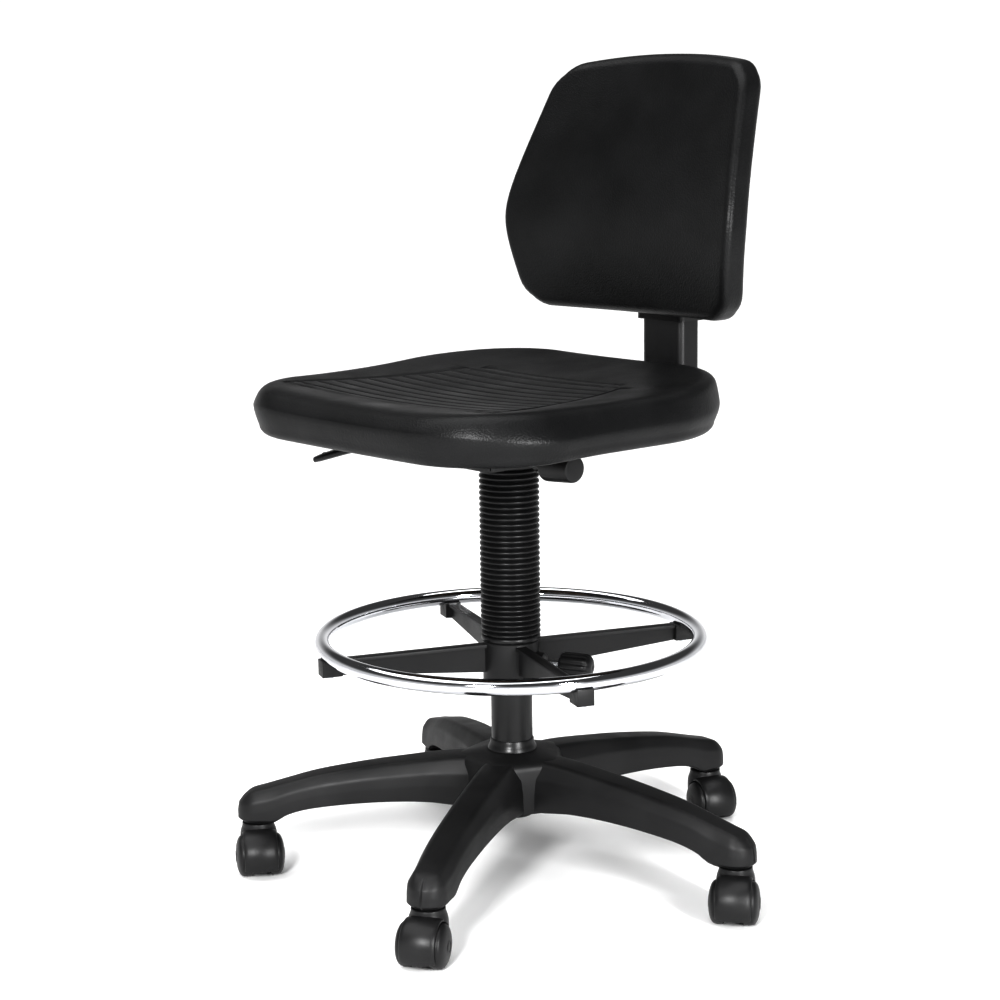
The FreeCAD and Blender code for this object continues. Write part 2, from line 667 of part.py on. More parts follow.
def lobed_knob(name, diameter, length, lobe_count=6):
    """A hand knob about its own Z axis, scalloped round its rim, with a collar at its foot."""
    knob = new_body(name)
    pad(knob, disc(knob, "XY_Plane", f"({diameter}) * 0.3", name="collar"), "5", middle=False,
        name="collar_pad")
    pad(knob, disc(knob, "XY_Plane", f"({diameter}) / 2", offset="4", name="grip"), f"({length}) - 4",
        middle=False, name="grip_pad")
    scallop = pocket(knob, disc(knob, "XY_Plane", f"({diameter}) * 0.13", f"({diameter}) * 0.56", "0", "3",
                                "scallop"), f"({length}) + 4", back=True, name="scallop_cut")
    polar(knob, [scallop], lobe_count, "scallops")
    pocket(knob, disc(knob, "XY_Plane", "clamp_screw_diameter / 2", offset="-1", name="bore"),
           "clamp_screw_grip + 1", back=True, name="bore_cut")
    return knob


ring_knob = lobed_knob("ring_knob_moulding", "ring_knob_diameter", "ring_knob_length")
out = FreeCAD.Rotation(FreeCAD.Vector(0, 1, 0), 90)
knob_yaw = FreeCAD.Rotation(FreeCAD.Vector(0, 0, 1), number(knob_turn))
ring_knob.Placement.Rotation = knob_yaw.multiply(out)
bind(ring_knob, Placement__Base__x=f"ring_knob_reach * cos({knob_turn})",
     Placement__Base__y=f"ring_knob_reach * sin({knob_turn})", Placement__Base__z=knob_height)
keep(ring_knob, "footring_knob")

# ---- mechanism under the seat ----

plate_foot = "(seat_underside - plate_thickness)"
housing_foot = f"({plate_foot} - housing_depth)"
housing_half = "(housing_width / 2)"
bar_level = "(seat_underside - bar_drop)"

plate = new_body("plate_pressing")
pad(plate, outline(plate, "XY_Plane", [
    ("-plate_width / 2", "-plate_length / 2"), ("plate_width / 2", "-plate_length / 2"),
    ("plate_width / 2", "plate_length / 2"), ("-plate_width / 2", "plate_length / 2")], plate_foot),
    "plate_thickness", middle=False)
round_edges(plate, "18", is_upright)
bolt_out, bolt_along = "(plate_width / 2 - 14)", "(plate_length / 2 - 16)"
bolt_places = [(bolt_out, bolt_along), (f"-{bolt_out}", bolt_along),
               (bolt_out, f"-{bolt_along}"), (f"-{bolt_out}", f"-{bolt_along}")]
for index, (across, along) in enumerate(bolt_places):
    pocket(plate, disc(plate, "XY_Plane", "seat_bolt_diameter / 2 + 0.5", across, along,
                       f"{plate_foot} - 1", f"bolt_hole{index}"), "plate_thickness + 2", back=True,
           name=f"bolt_hole_cut{index}")

housing = new_body("housing_pressing")
pad(housing, outline(housing, "XY_Plane", [
    (f"-{housing_half}", "-housing_front"), (housing_half, "-housing_front"),
    (housing_half, "housing_rear"), (f"-{housing_half}", "housing_rear")], housing_foot),
    "housing_depth", middle=False)
round_edges(housing, "10", lambda edge: is_upright(edge) and edge.Vertexes[0].Y < 0)
pocket(housing, outline(housing, "XY_Plane", [
    (f"-{housing_half} + housing_wall", "-housing_front + housing_wall"),
    (f"{housing_half} - housing_wall", "-housing_front + housing_wall"),
    (f"{housing_half} - housing_wall", "housing_rear + 1"),
    (f"-{housing_half} + housing_wall", "housing_rear + 1")],
    f"{housing_foot} + housing_wall", "inside"), "housing_depth", back=True, name="inside_cut")
pocket(housing, outline(housing, "XY_Plane", [
    (f"-{housing_half} + housing_wall", "housing_rear - 34"),
    (f"{housing_half} - housing_wall", "housing_rear - 34"),
    (f"{housing_half} - housing_wall", "housing_rear + 1"),
    (f"-{housing_half} + housing_wall", "housing_rear + 1")],
    f"{housing_foot} - 1", "mouth"), "housing_wall + 2", back=True, name="mouth_cut")
socket_radius = "(lift_diameter / 2 + 5)"
pocket(housing, disc(housing, "XY_Plane", socket_radius, offset=f"{housing_foot} - 1", name="socket_hole"),
       "housing_wall + 2", back=True, name="socket_hole_cut")
pocket(housing, disc(housing, "YZ_Plane", "back_pivot_diameter / 2 + running_gap", "back_pivot_set",
                     bar_level, name="pivot_hole"), "housing_width + 4", middle=True,
       name="pivot_hole_cut")
pocket(housing, disc(housing, "YZ_Plane", "angle_screw_diameter / 2 + running_gap", "angle_knob_set",
                     "angle_knob_height", f"{housing_half} + 1", "knob_hole"), "housing_wall + 2",
       name="knob_hole_cut")
# the height lever leaves through a slot in the right-hand wall
lever_side_y = f"(-{housing_half} * tan(lever_turn - 180))"
pocket(housing, outline(housing, "YZ_Plane", [
    (f"{lever_side_y} - 9", f"{lift_top} - 4"), (f"{lever_side_y} + 9", f"{lift_top} - 4"),
    (f"{lever_side_y} + 9", f"{plate_foot} + 1"), (f"{lever_side_y} - 9", f"{plate_foot} + 1")],
    f"-{housing_half} - 1", "lever_slot"), "housing_wall + 2", back=True, name="lever_slot_cut")
keep(housing, "mechanism_housing")

socket_narrow = f"lift_diameter / 2 - {lift_taper} * (1 - 8 / ({lift_top} - socket_mouth))"
socket = turned("socket_turning", [
    ("lift_diameter / 2", "socket_mouth"), (socket_radius, "socket_mouth"),
    (socket_radius, f"{lift_top} - 8"), (socket_narrow, f"{lift_top} - 8")])
keep(socket, "lift_socket")

# ---- height lever, which rocks on a pin and presses the lift's button ----

lever_level = f"({lift_top} + valve_travel + lever_rod / 2 - 1)"
lever_out = f"{lever_level} - lever_fall"
lever = new_body("lever_bar")
pad(lever, outline(lever, "XZ_Plane", [
    ("-1", f"{lever_level} - 2.7"), ("lever_pivot - 6", f"{lever_level} - 2.7"),
    ("lever_pivot", f"{lever_level} - 5"), ("lever_pivot + 22", f"{lever_level} - 4"),
    ("lever_reach - 12", f"{lever_out} - 3"), ("lever_reach - 12", f"{lever_out} + 3"),
    ("lever_pivot + 24", f"{lever_level} + 3.5"), ("-1", f"{lever_level} + 3.5")]),
    "lever_rod - 3")
pocket(lever, disc(lever, "XZ_Plane", "lever_pin_diameter / 2 + running_gap", "lever_pivot", lever_level,
                   name="eye"), "20", middle=True, name="eye_cut")
place(lever, axis=(0, 0, 1), angle="lever_turn")
keep(lever, "height_lever")

paddle = new_body("paddle_moulding")
paddle_root = "(lever_reach - 82)"
pad(paddle, outline(paddle, "XZ_Plane", [
    (paddle_root, f"{lever_out} + 11"), ("lever_reach - 20", f"{lever_out} - 6"),
    ("lever_reach", f"{lever_out} - 7"), ("lever_reach", f"{lever_out} - 3"),
    ("lever_reach - 20", f"{lever_out} + 6"), (paddle_root, f"{lever_out} + 23")]), "26")
pocket(paddle, outline(paddle, "XZ_Plane", [
    ("lever_pivot + 22", f"{lever_level} - 4"), ("lever_reach - 12", f"{lever_out} - 3"),
    ("lever_reach - 12", f"{lever_out} + 3"), ("lever_pivot + 24", f"{lever_level} + 3.5")],
    name="slot"), "lever_rod - 3 + running_gap * 2", middle=True, name="slot_cut")
place(paddle, axis=(0, 0, 1), angle="lever_turn")
keep(paddle, "lever_paddle")

pin = new_body("lever_pin_bar")
pad(pin, disc(pin, "XZ_Plane", "lever_pin_diameter / 2", "lever_pivot", lever_level), "lever_rod + 6")
place(pin, axis=(0, 0, 1), angle="lever_turn")
keep(pin, "lever_pin")

bracket = new_body("lever_bracket_pressing")
bracket_side = "(lever_rod / 2 + 2.7)"
pad(bracket, outline(bracket, "XZ_Plane", [
    ("lever_pivot - 8", f"{lever_level} - 7"), ("lever_pivot + 4.5", f"{lever_level} - 7"),
    ("lever_pivot + 4.5", plate_foot), ("lever_pivot - 8", plate_foot)]), f"{bracket_side} * 2")
pocket(bracket, outline(bracket, "XZ_Plane", [
    ("lever_pivot - 9", f"{lever_level} - 8"), ("lever_pivot + 9", f"{lever_level} - 8"),
    ("lever_pivot + 9", f"{plate_foot} - 1.5"), ("lever_pivot - 9", f"{plate_foot} - 1.5")], name="slot"),
    "lever_rod + 1", middle=True, name="slot_cut")
pocket(bracket, disc(bracket, "XZ_Plane", "lever_pin_diameter / 2", "lever_pivot", lever_level,
                     name="eye"), "lever_rod + 20", middle=True, name="eye_cut")
place(bracket, axis=(0, 0, 1), angle="lever_turn")
keep(fuse("plate_welded", plate, bracket), "mechanism_plate")

# ---- knob that clamps the back's angle ----


def turned_across(thing, x, y, z, axis, angle):
    """Lay a piece drawn about its own Z axis along another axis of the chair."""
    thing.Placement.Rotation = FreeCAD.Rotation(FreeCAD.Vector(*axis), angle)
    return bind(thing, Placement__Base__x=x, Placement__Base__y=y, Placement__Base__z=z)


screw_start = f"({housing_half} - housing_wall - 4)"
screw_length = f"(angle_knob_reach + 24 - {screw_start})"
screw_head, screw_radius = "(angle_screw_diameter / 2 + 2)", "(angle_screw_diameter / 2)"
angle_screw = turned("angle_screw_turning", [
    ("0", "0"), (screw_head, "0"), (screw_head, "4"), (screw_radius, "4"),
    (screw_radius, screw_length), ("0", screw_length)])
turned_across(angle_screw, screw_start, "angle_knob_set", "angle_knob_height",
              (0, 1, 0), 90)
keep(angle_screw, "angle_screw")

angle_knob = new_body("angle_knob_moulding")
pad(angle_knob, disc(angle_knob, "XY_Plane", "angle_knob_diameter * 0.28", name="neck"), "20", middle=False,
    name="neck_pad")
pad(angle_knob, disc(angle_knob, "XY_Plane", "angle_knob_diameter / 2", offset="18", name="grip"),
    "angle_knob_length", middle=False, name="grip_pad")
flute = pocket(angle_knob, disc(angle_knob, "XY_Plane", "2.5", "angle_knob_diameter / 2 + 1.2", "0", "22",
                                "flute"), "angle_knob_length", back=True, name="flute_cut")
polar(angle_knob, [flute], 12, "flutes")
pocket(angle_knob, disc(angle_knob, "XY_Plane", "angle_screw_diameter / 2", offset="-1", name="bore"),
       "25", back=True, name="bore_cut")
turned_across(angle_knob, "angle_knob_reach", "angle_knob_set", "angle_knob_height", (0, 1, 0), 90)
keep(angle_knob, "angle_knob")

# ---- seat ----

dish_radius = "((seat_rear - seat_dish_set) * (seat_rear - seat_dish_set) / (2 * seat_rear_rise))"
cushion = new_body("seat_moulding")
pad(cushion, outline(cushion, "XY_Plane", [
    ("-seat_front_width / 2", "-seat_front"), ("seat_front_width / 2", "-seat_front"),
    ("seat_rear_width / 2", "seat_rear"), ("-seat_rear_width / 2", "seat_rear")], "seat_underside"),
    "seat_thickness + seat_rear_rise + 10", middle=False)
round_edges(cushion, "seat_front_corner", lambda edge: is_upright(edge) and edge.BoundBox.YMax < 0,
            "front_corners")
round_edges(cushion, "seat_rear_corner",
            lambda edge: is_upright(edge) and edge.BoundBox.YMin > number("seat_rear") - 1, "rear_corners")
pocket(cushion, disc(cushion, "YZ_Plane", dish_radius, "seat_dish_set",
                     f"seat_underside + seat_thickness + {dish_radius}", name="dish"),
       "seat_front_width * 2", middle=True, name="dish_cut")
top_floor = number("seat_underside + seat_thickness") - 1
round_edges(cushion, "seat_edge_round", lambda edge: edge.BoundBox.ZMin > top_floor, "rim")


def pan_outline(body, gap, offset, name):
    """The seat board's outline, grown by a gap."""
    half, front, rear = (f"(pan_width / 2 + {gap})",
                         f"(pan_margin - seat_front - {gap})", f"(seat_rear - 40 + {gap})")
    corners = [(f"-{half}", front), (half, front), (half, rear), (f"-{half}", rear)]
    return outline(body, "XY_Plane", corners, offset, name)


pocket(cushion, pan_outline(cushion, "soft_gap", "seat_underside - 1", "recess"),
       "pan_thickness + 1 + soft_gap", back=True, name="recess_cut")
keep(cushion, "seat_cushion")

pan = new_body("pan_board")
pad(pan, pan_outline(pan, "0", "seat_underside", "board"), "pan_thickness", middle=False)
for index, (across, along) in enumerate(bolt_places):
    pocket(pan, disc(pan, "XY_Plane", "seat_bolt_diameter / 2", across, along, "seat_underside - 1",
                     f"hole{index}"), "pan_thickness", back=True, name=f"hole_cut{index}")
keep(pan, "seat_pan")

seat_bolts = []
for index, (across, along) in enumerate(bolt_places):
    shank = place(solid("Cylinder", f"seat_bolt_shank{index}", Radius="seat_bolt_diameter / 2",
                        Height="plate_thickness + pan_thickness - 1"), across, along, plate_foot)
    head = place(solid("Prism", f"seat_bolt_head{index}", Circumradius="seat_bolt_diameter * 0.92",
                       Height="5.3"), across, along, f"{plate_foot} - 5.3")
    seat_bolts.append(fuse(f"seat_bolt{index}", shank, head))
keep(group("seat_bolt_group", seat_bolts), "seat_bolts")

# ---- back bar, hinged under the seat and bent up behind it ----


def bar_outline(body, start, half_depth, top):
    """The bar's side view about its middle line: level, then upright."""
    half = f"({half_depth})"
    return outline(body, "YZ_Plane", [
        (start, f"{bar_level} - {half}"), (f"bar_set + {half}", f"{bar_level} - {half}"),
        (f"bar_set + {half}", top), (f"bar_set - {half}", top),
        (f"bar_set - {half}", f"{bar_level} + {half}"), (start, f"{bar_level} + {half}")])


def is_bend(edge, across, up):
    """An edge across the chair at one height and one distance from its axis."""
    box = edge.BoundBox
    return box.XLength > 1 and abs(box.Center.y - across) < 0.1 and abs(box.Center.z - up) < 0.1


def bend(body, half_depth):
    """Round the inside and outside of the bar's bend about one centre."""
    half = number(half_depth)
    level, upright = number(bar_level), number("bar_set")
    round_edges(body, f"bar_bend + ({half_depth})",
                lambda edge: is_bend(edge, upright + half, level - half), "bend_outer")
    round_edges(body, f"bar_bend - ({half_depth})",
                lambda edge: is_bend(edge, upright - half, level + half), "bend_inner")


eye_radius = "(back_pivot_diameter / 2 + 6)"
bar = new_body("bar_forging")
steel_top = "bar_top - 4"
pad(bar, bar_outline(bar, "back_pivot_set", "bar_steel_depth / 2", steel_top), "bar_steel_width")
bend(bar, "bar_steel_depth / 2")
pad(bar, disc(bar, "YZ_Plane", eye_radius, "back_pivot_set", bar_level, name="eye"),
    "housing_width - housing_wall * 2 - 8", name="eye_pad")
pocket(bar, disc(bar, "YZ_Plane", "back_pivot_diameter / 2 + running_gap", "back_pivot_set", bar_level,
                 name="bore"),
       "housing_width * 2", middle=True, name="bore_cut")
keep(bar, "back_bar")

cover = new_body("cover_moulding")
cover_start = "(housing_rear + 14)"
pad(cover, bar_outline(cover, cover_start, "bar_cover_depth / 2", "bar_top"), "bar_cover_width")
bend(cover, "bar_cover_depth / 2")
cover_half = number("bar_cover_width / 2")
start_plane = number(cover_start)


def is_cover_side(edge):
    """An edge along either side of the cover, other than the ends of its mouth."""
    box = edge.BoundBox
    at_mouth = box.YLength < 0.01 and abs(box.Center.y - start_plane) < 0.1
    return abs(abs(box.Center.x) - cover_half) < 0.01 and box.XLength < 0.01 and not at_mouth


round_edges(cover, "9", is_cover_side, "long")
steel_slot = new_body("steel_slot")
slot_half = "bar_steel_depth / 2 + running_gap"
pad(steel_slot, bar_outline(steel_slot, "back_pivot_set", slot_half, steel_top),
    "bar_steel_width + running_gap * 2")
bend(steel_slot, slot_half)
keep(cut("cover_cut", cover, steel_slot), "back_bar_cover")

pin_radius, pin_head = "(back_pivot_diameter / 2)", "(back_pivot_diameter / 2 + 3)"
pivot = turned("pivot_turning", [
    ("0", f"-{housing_half} - 3"), (pin_head, f"-{housing_half} - 3"), (pin_head, f"-{housing_half}"),
    (pin_radius, f"-{housing_half}"), (pin_radius, f"{housing_half}"), (pin_head, f"{housing_half}"),
    (pin_head, f"{housing_half} + 3"), ("0", f"{housing_half} + 3")])
turned_across(pivot, "0", "back_pivot_set", bar_level, (0, 1, 0), 90)
keep(pivot, "back_pivot_pin")

# ---- slider that carries the backrest up and down the bar ----

slider_bore_x = "(bar_cover_width / 2 + slide_gap)"
slider_bore_y = "(bar_cover_depth / 2 + slide_gap)"
slider_front = f"(bar_set - {slider_bore_y} - slider_wall)"
slider_rear = f"(bar_set + {slider_bore_y} + slider_wall)"
flange_bottom, flange_height = "(insert_bottom - 5)", "(insert_height + 10)"
slider = new_body("slider_moulding")
pad(slider, outline(slider, "XY_Plane", [
    (f"-{slider_bore_x} - slider_wall", slider_front), (f"{slider_bore_x} + slider_wall", slider_front),
    (f"{slider_bore_x} + slider_wall", slider_rear), (f"-{slider_bore_x} - slider_wall", slider_rear)],
    "slider_bottom"), "slider_length", middle=False)
round_edges(slider, "9", is_upright)
pad(slider, outline(slider, "XY_Plane", [
    ("-insert_width / 2 - 2", f"{slider_front} - 1"), ("insert_width / 2 + 2", f"{slider_front} - 1"),
    ("insert_width / 2 + 2", f"{slider_front} + 3"), ("-insert_width / 2 - 2", f"{slider_front} + 3")],
    flange_bottom, "flange"), flange_height, middle=False, name="flange_pad")
pad(slider, disc(slider, "XZ_Plane", "13", "0", f"{flange_bottom} + {flange_height} / 2",
                 f"-{slider_rear} - 6", "boss"), "8", middle=False, name="boss_pad")
pocket(slider, outline(slider, "XY_Plane", [
    (f"-{slider_bore_x}", f"bar_set - {slider_bore_y}"), (slider_bore_x, f"bar_set - {slider_bore_y}"),
    (slider_bore_x, f"bar_set + {slider_bore_y}"), (f"-{slider_bore_x}", f"bar_set + {slider_bore_y}")],
    "slider_bottom - 1", "bore"), "slider_length + 2", back=True, name="bore_cut")
knob_level = f"({flange_bottom} + {flange_height} / 2)"
pocket(slider, disc(slider, "XZ_Plane", "clamp_screw_diameter / 2 + running_gap", "0", knob_level,
                    f"-{slider_rear} - 8", "knob_bore"), "16", back=True, name="knob_bore_cut")
screw_out, screw_set = "(insert_width / 2 - 8)", "(insert_height / 2 - 15)"
screw_places = [(screw_out, f"{knob_level} + {screw_set}"), (f"-{screw_out}", f"{knob_level} + {screw_set}"),
                (screw_out, f"{knob_level} - {screw_set}"), (f"-{screw_out}", f"{knob_level} - {screw_set}")]
for index, (across, up) in enumerate(screw_places):
    pocket(slider, disc(slider, "XZ_Plane", "back_screw_diameter / 2 + 0.3", across, up,
                        f"-{slider_front} - 4", f"hole{index}"), "6", back=True, name=f"hole_cut{index}")
keep(slider, "back_slider")

back_knob_foot = f"({slider_rear} + 6.5)"
back_screw_start = f"(bar_set + {slider_bore_y})"
back_knob_screw = solid("Cylinder", "back_knob_bar", Radius="clamp_screw_diameter / 2",
                        Height=f"{back_knob_foot} + clamp_screw_grip - {back_screw_start}")
turned_across(back_knob_screw, "0", back_screw_start, knob_level, (1, 0, 0), -90)
keep(back_knob_screw, "back_height_screw")

back_knob = lobed_knob("back_knob_moulding", "back_knob_diameter", "back_knob_length")
turned_across(back_knob, "0", back_knob_foot, knob_level, (1, 0, 0), -90)
keep(back_knob, "back_height_knob")

# ---- backrest: a moulding hollowed across its width and bent back above and below the lumbar line ----

back_bottom, back_top = number("back_bottom"), number("back_top")
lumbar = number("back_lumbar_height")
back_hollow, back_thickness = number("back_hollow"), number("back_thickness")
back_half = number("back_width_lumbar / 2")
back_set = number(f"{slider_front} - back_forward")
side_margin = 6


def side_set(height):
    """How far behind the axis the front of the backrest's side edge is at a height."""
    if height > lumbar:
        return back_set + number("back_lean") * ((height - lumbar) / (back_top - lumbar)) ** 1.15
    return back_set + number("back_foot_lean") * ((lumbar - height) / (lumbar - back_bottom)) ** 1.3


def band(height):
    """A level slice of the backrest: two arcs across it, closed by short straight ends."""
    half = back_half + side_margin
    hollow = back_hollow * (half / back_half) ** 2
    front = side_set(height)
    rear = front + back_thickness
    corner = FreeCAD.Vector
    front_right, front_left = corner(-half, front, height), corner(half, front, height)
    rear_right, rear_left = corner(-half, rear, height), corner(half, rear, height)
    edges = [Part.Arc(front_right, corner(0, front + hollow, height), front_left),
             Part.LineSegment(front_left, rear_left),
             Part.Arc(rear_left, corner(0, rear + hollow, height), rear_right),
             Part.LineSegment(rear_right, front_right)]
    return Part.Wire([edge.toShape() for edge in edges])


def across_edges(shape, at_waist):
    """The edges that run through the slab, at the lumbar line or away from it."""
    return [edge for edge in shape.Edges if edge.BoundBox.YLength > 1
            and (abs(edge.BoundBox.Center.z - lumbar) < 1) == at_waist]


def back_prism():
    """The backrest's front view with round corners, as a prism through the bent slab."""
    view = [(number("back_width_bottom / 2"), back_bottom), (back_half, lumbar),
            (number("back_width_top / 2"), back_top)]
    view += [(-across, up) for across, up in reversed(view)]
    corners = [FreeCAD.Vector(across, back_set - 60, up) for across, up in view]
    prism = Part.Face(Part.makePolygon(corners + corners[:1])).extrude(FreeCAD.Vector(0, 260, 0))
    prism = prism.makeFillet(number("back_corner"), across_edges(prism, False))
    return prism.makeFillet(number("back_corner * 1.5"), across_edges(prism, True))


step_count = 6
slab_foot, slab_height = back_bottom - 4, back_top - back_bottom + 8
heights = [slab_foot + slab_height * step / step_count for step in range(step_count + 1)]
slab = Part.makeLoft([band(height) for height in heights], True, False)
insert_rear = f"({slider_front} - 1)"
insert_front = f"({insert_rear} - insert_depth)"
recess_corner = FreeCAD.Vector(number("-insert_width / 2 - soft_gap"), number(insert_front),
                               number("insert_bottom - soft_gap"))
recess = Part.makeBox(number("insert_width + soft_gap * 2"), number("insert_depth * 2"),
                      number("insert_height + soft_gap * 2"), recess_corner)
backrest = doc.addObject("Part::Feature", "backrest_moulding")
backrest.Shape = slab.common(back_prism()).cut(recess)
keep(backrest, "backrest_cushion")

insert = new_body("insert_block")
pad(insert, outline(insert, "XY_Plane", [
    ("-insert_width / 2", insert_front), ("insert_width / 2", insert_front),
    ("insert_width / 2", insert_rear), ("-insert_width / 2", insert_rear)],
    "insert_bottom"), "insert_height", middle=False)
for index, (across, up) in enumerate(screw_places):
    pocket(insert, disc(insert, "XZ_Plane", "back_screw_diameter / 2", across, up,
                        f"-{slider_front}", f"hole{index}"), "back_screw_length", back=True,
           name=f"hole_cut{index}")
keep(insert, "backrest_insert")

back_screws = []
for index, (across, up) in enumerate(screw_places):
    shank = solid("Cylinder", f"back_screw_shank{index}", Radius="back_screw_diameter / 2",
                  Height="back_screw_length")
    turned_across(shank, across, f"{slider_front} + 3", up, (1, 0, 0), 90)
    head = solid("Cylinder", f"back_screw_head{index}", Radius="back_screw_diameter * 0.83", Height="3.5")
    turned_across(head, across, f"{slider_front} + 6.5", up, (1, 0, 0), 90)
    back_screws.append(fuse(f"back_screw{index}", shank, head))
keep(group("back_screw_group", back_screws), "backrest_screws")

# ---- check and write ----

doc.recompute()
faults = [thing.Name for thing in doc.Objects if {"Invalid", "Error"} & set(thing.State)]
for thing in nodes:
    shape = thing.Shape
    if shape.isNull() or not shape.isValid() or not shape.Solids:
        faults.append(thing.Label)
if faults:
    raise RuntimeError("failed: " + ", ".join(faults))
for thing in nodes:
    shape = thing.Shape
    print(f"{thing.Label}: {len(shape.Solids)} solid(s), {shape.Volume / 1000:.1f} cm3")
    shape.exportStep(f"parts/{thing.Label}.step")
print(len(nodes), "nodes")
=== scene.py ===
import json
import math
import bpy
import bmesh
from mathutils import Matrix, Quaternion, Vector


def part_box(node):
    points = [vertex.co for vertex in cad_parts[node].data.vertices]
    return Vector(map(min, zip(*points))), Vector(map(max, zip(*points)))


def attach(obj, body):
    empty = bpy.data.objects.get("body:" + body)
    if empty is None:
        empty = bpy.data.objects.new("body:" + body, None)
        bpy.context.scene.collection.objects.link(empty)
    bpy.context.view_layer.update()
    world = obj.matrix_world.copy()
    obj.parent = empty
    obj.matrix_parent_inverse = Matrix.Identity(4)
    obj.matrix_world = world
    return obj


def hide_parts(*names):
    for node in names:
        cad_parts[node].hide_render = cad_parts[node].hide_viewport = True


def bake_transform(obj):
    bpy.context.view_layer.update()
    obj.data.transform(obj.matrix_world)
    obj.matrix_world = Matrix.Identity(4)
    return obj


# A drafting chair: moulded seat and backrest, bellows column, chrome footring, five-star caster base.
# Metres, +Z up, origin on the floor on the column axis. The sitter faces -Y.

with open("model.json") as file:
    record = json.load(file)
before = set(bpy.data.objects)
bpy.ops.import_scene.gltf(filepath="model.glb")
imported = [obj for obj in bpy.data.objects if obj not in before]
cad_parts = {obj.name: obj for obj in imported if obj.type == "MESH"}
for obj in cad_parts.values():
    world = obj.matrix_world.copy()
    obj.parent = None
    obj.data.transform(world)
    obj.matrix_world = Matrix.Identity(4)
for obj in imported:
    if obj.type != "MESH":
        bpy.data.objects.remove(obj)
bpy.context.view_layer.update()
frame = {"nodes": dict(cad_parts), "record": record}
up = Vector((0, 0, 1))
print("frame loaded")

# small helpers shared by the pieces


def smoothStep(value, low, high):
    share = min(max((value - low) / (high - low), 0.0), 1.0)
    return share * share * (3 - 2 * share)


def mix(a, b, share):
    return a + (b - a) * share


def softRamp(value, softness):
    # nearly zero below zero and nearly the value above it
    return (value + math.sqrt(value * value + softness * softness)) / 2


def newPiece(name, mesh):
    piece = bpy.data.objects.new(name, mesh)
    bpy.context.scene.collection.objects.link(piece)
    return piece


def meshPiece(name, points, faces, sharpAngle=None):
    # merges doubles and turns every face outwards
    mesh = bpy.data.meshes.new(name)
    mesh.from_pydata([tuple(point) for point in points], [], faces)
    return newPiece(name, cleaned(mesh, sharpAngle))


def cleaned(mesh, sharpAngle=None):
    work = bmesh.new()
    work.from_mesh(mesh)
    bmesh.ops.remove_doubles(work, verts=work.verts, dist=2e-6)
    bmesh.ops.dissolve_degenerate(work, dist=1e-7, edges=work.edges)
    bmesh.ops.recalc_face_normals(work, faces=work.faces)
    work.to_mesh(mesh)
    work.free()
    mesh.polygons.foreach_set("use_smooth", [True] * len(mesh.polygons))
    if sharpAngle is not None:
        mesh.set_sharp_from_angle(angle=math.radians(sharpAngle))
    mesh.update()
    return mesh


def settle(piece):
    # applies what is live on a piece, so that its mesh is the finished shape
    bpy.context.view_layer.update()
    graph = bpy.context.evaluated_depsgraph_get()
    mesh = bpy.data.meshes.new_from_object(piece.evaluated_get(graph))
    piece.modifiers.clear()
    old = piece.data
    piece.data = mesh
    bpy.data.meshes.remove(old)
    mesh.name = piece.name
    return piece


def bevelled(piece, width, segments=3, angle=30):
    edges = piece.modifiers.new("edges", "BEVEL")
    edges.width = width
    edges.segments = segments
    edges.limit_method = "ANGLE"
    edges.angle_limit = math.radians(angle)
    edges.harden_normals = False
    settle(piece)
    piece.data.set_sharp_from_angle(angle=math.radians(50))
    return piece


def joined(name, *pieces):
    # one mesh out of several closed shells
    work = bmesh.new()
    for piece in pieces:
        piece.data.transform(piece.matrix_world)
        work.from_mesh(piece.data)
    mesh = bpy.data.meshes.new(name)
    work.to_mesh(mesh)
    work.free()
    for piece in pieces:
        bpy.data.objects.remove(piece)
    return newPiece(name, mesh)


def moved(piece, matrix):
    piece.data.transform(matrix)
    piece.data.update()
    return piece


def spun(angle, place=(0, 0, 0)):
    return Matrix.Translation(place) @ Matrix.Rotation(angle, 4, "Z")


def along(direction, place):
    # carries a piece made about +Z onto a line through a place
    return Matrix.Translation(place) @ up.rotation_difference(Vector(direction)).to_matrix().to_4x4()


def seated(piece, body, slot, *nodes, finish=None):
    # gives a finished piece its finish, its body and the CAD nodes that it stands for
    piece.data.materials.clear()
    piece.data.materials.append(finish or finishes[slot])
    if body:
        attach(piece, body)
    if nodes:
        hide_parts(*nodes)
    return piece


def rounded(corners, radii, steps=5, closed=True):
    # corners of a flat outline with each one rounded by an arc
    count = len(corners)
    path = []
    for index, corner in enumerate(corners):
        corner = Vector(corner)
        radius = radii[index] if hasattr(radii, "__len__") else radii
        if radius <= 0 or (not closed and index in (0, count - 1)):
            path.append(corner)
            continue
        back = Vector(corners[index - 1]) - corner
        ahead = Vector(corners[(index + 1) % count]) - corner
        half = back.angle(ahead) / 2
        reach = min(radius / math.tan(half), back.length * 0.49, ahead.length * 0.49)
        start = corner + back.normalized() * reach
        end = corner + ahead.normalized() * reach
        for step in range(steps + 1):
            share = step / steps
            path.append(start * (1 - share) ** 2 + corner * 2 * share * (1 - share) + end * share ** 2)
    return path


def lathe(name, profile, segments=64, sharpAngle=35):
    # turns (radius, height) points about +Z; a radius of zero closes the end
    points, faces, rings = [], [], []
    for radius, height in profile:
        if radius < 1e-7:
            rings.append([len(points)] * segments)
            points.append((0, 0, height))
            continue
        rings.append(range(len(points), len(points) + segments))
        for step in range(segments):
            turn = math.tau * step / segments
            points.append((radius * math.cos(turn), radius * math.sin(turn), height))
    for low, high in zip(rings, rings[1:]):
        for step in range(segments):
            after = (step + 1) % segments
            corners = [low[step], low[after], high[after], high[step]]
            face = list(dict.fromkeys(corners))
            if len(face) > 2:
                faces.append(face)
    return meshPiece(name, points, faces, sharpAngle)


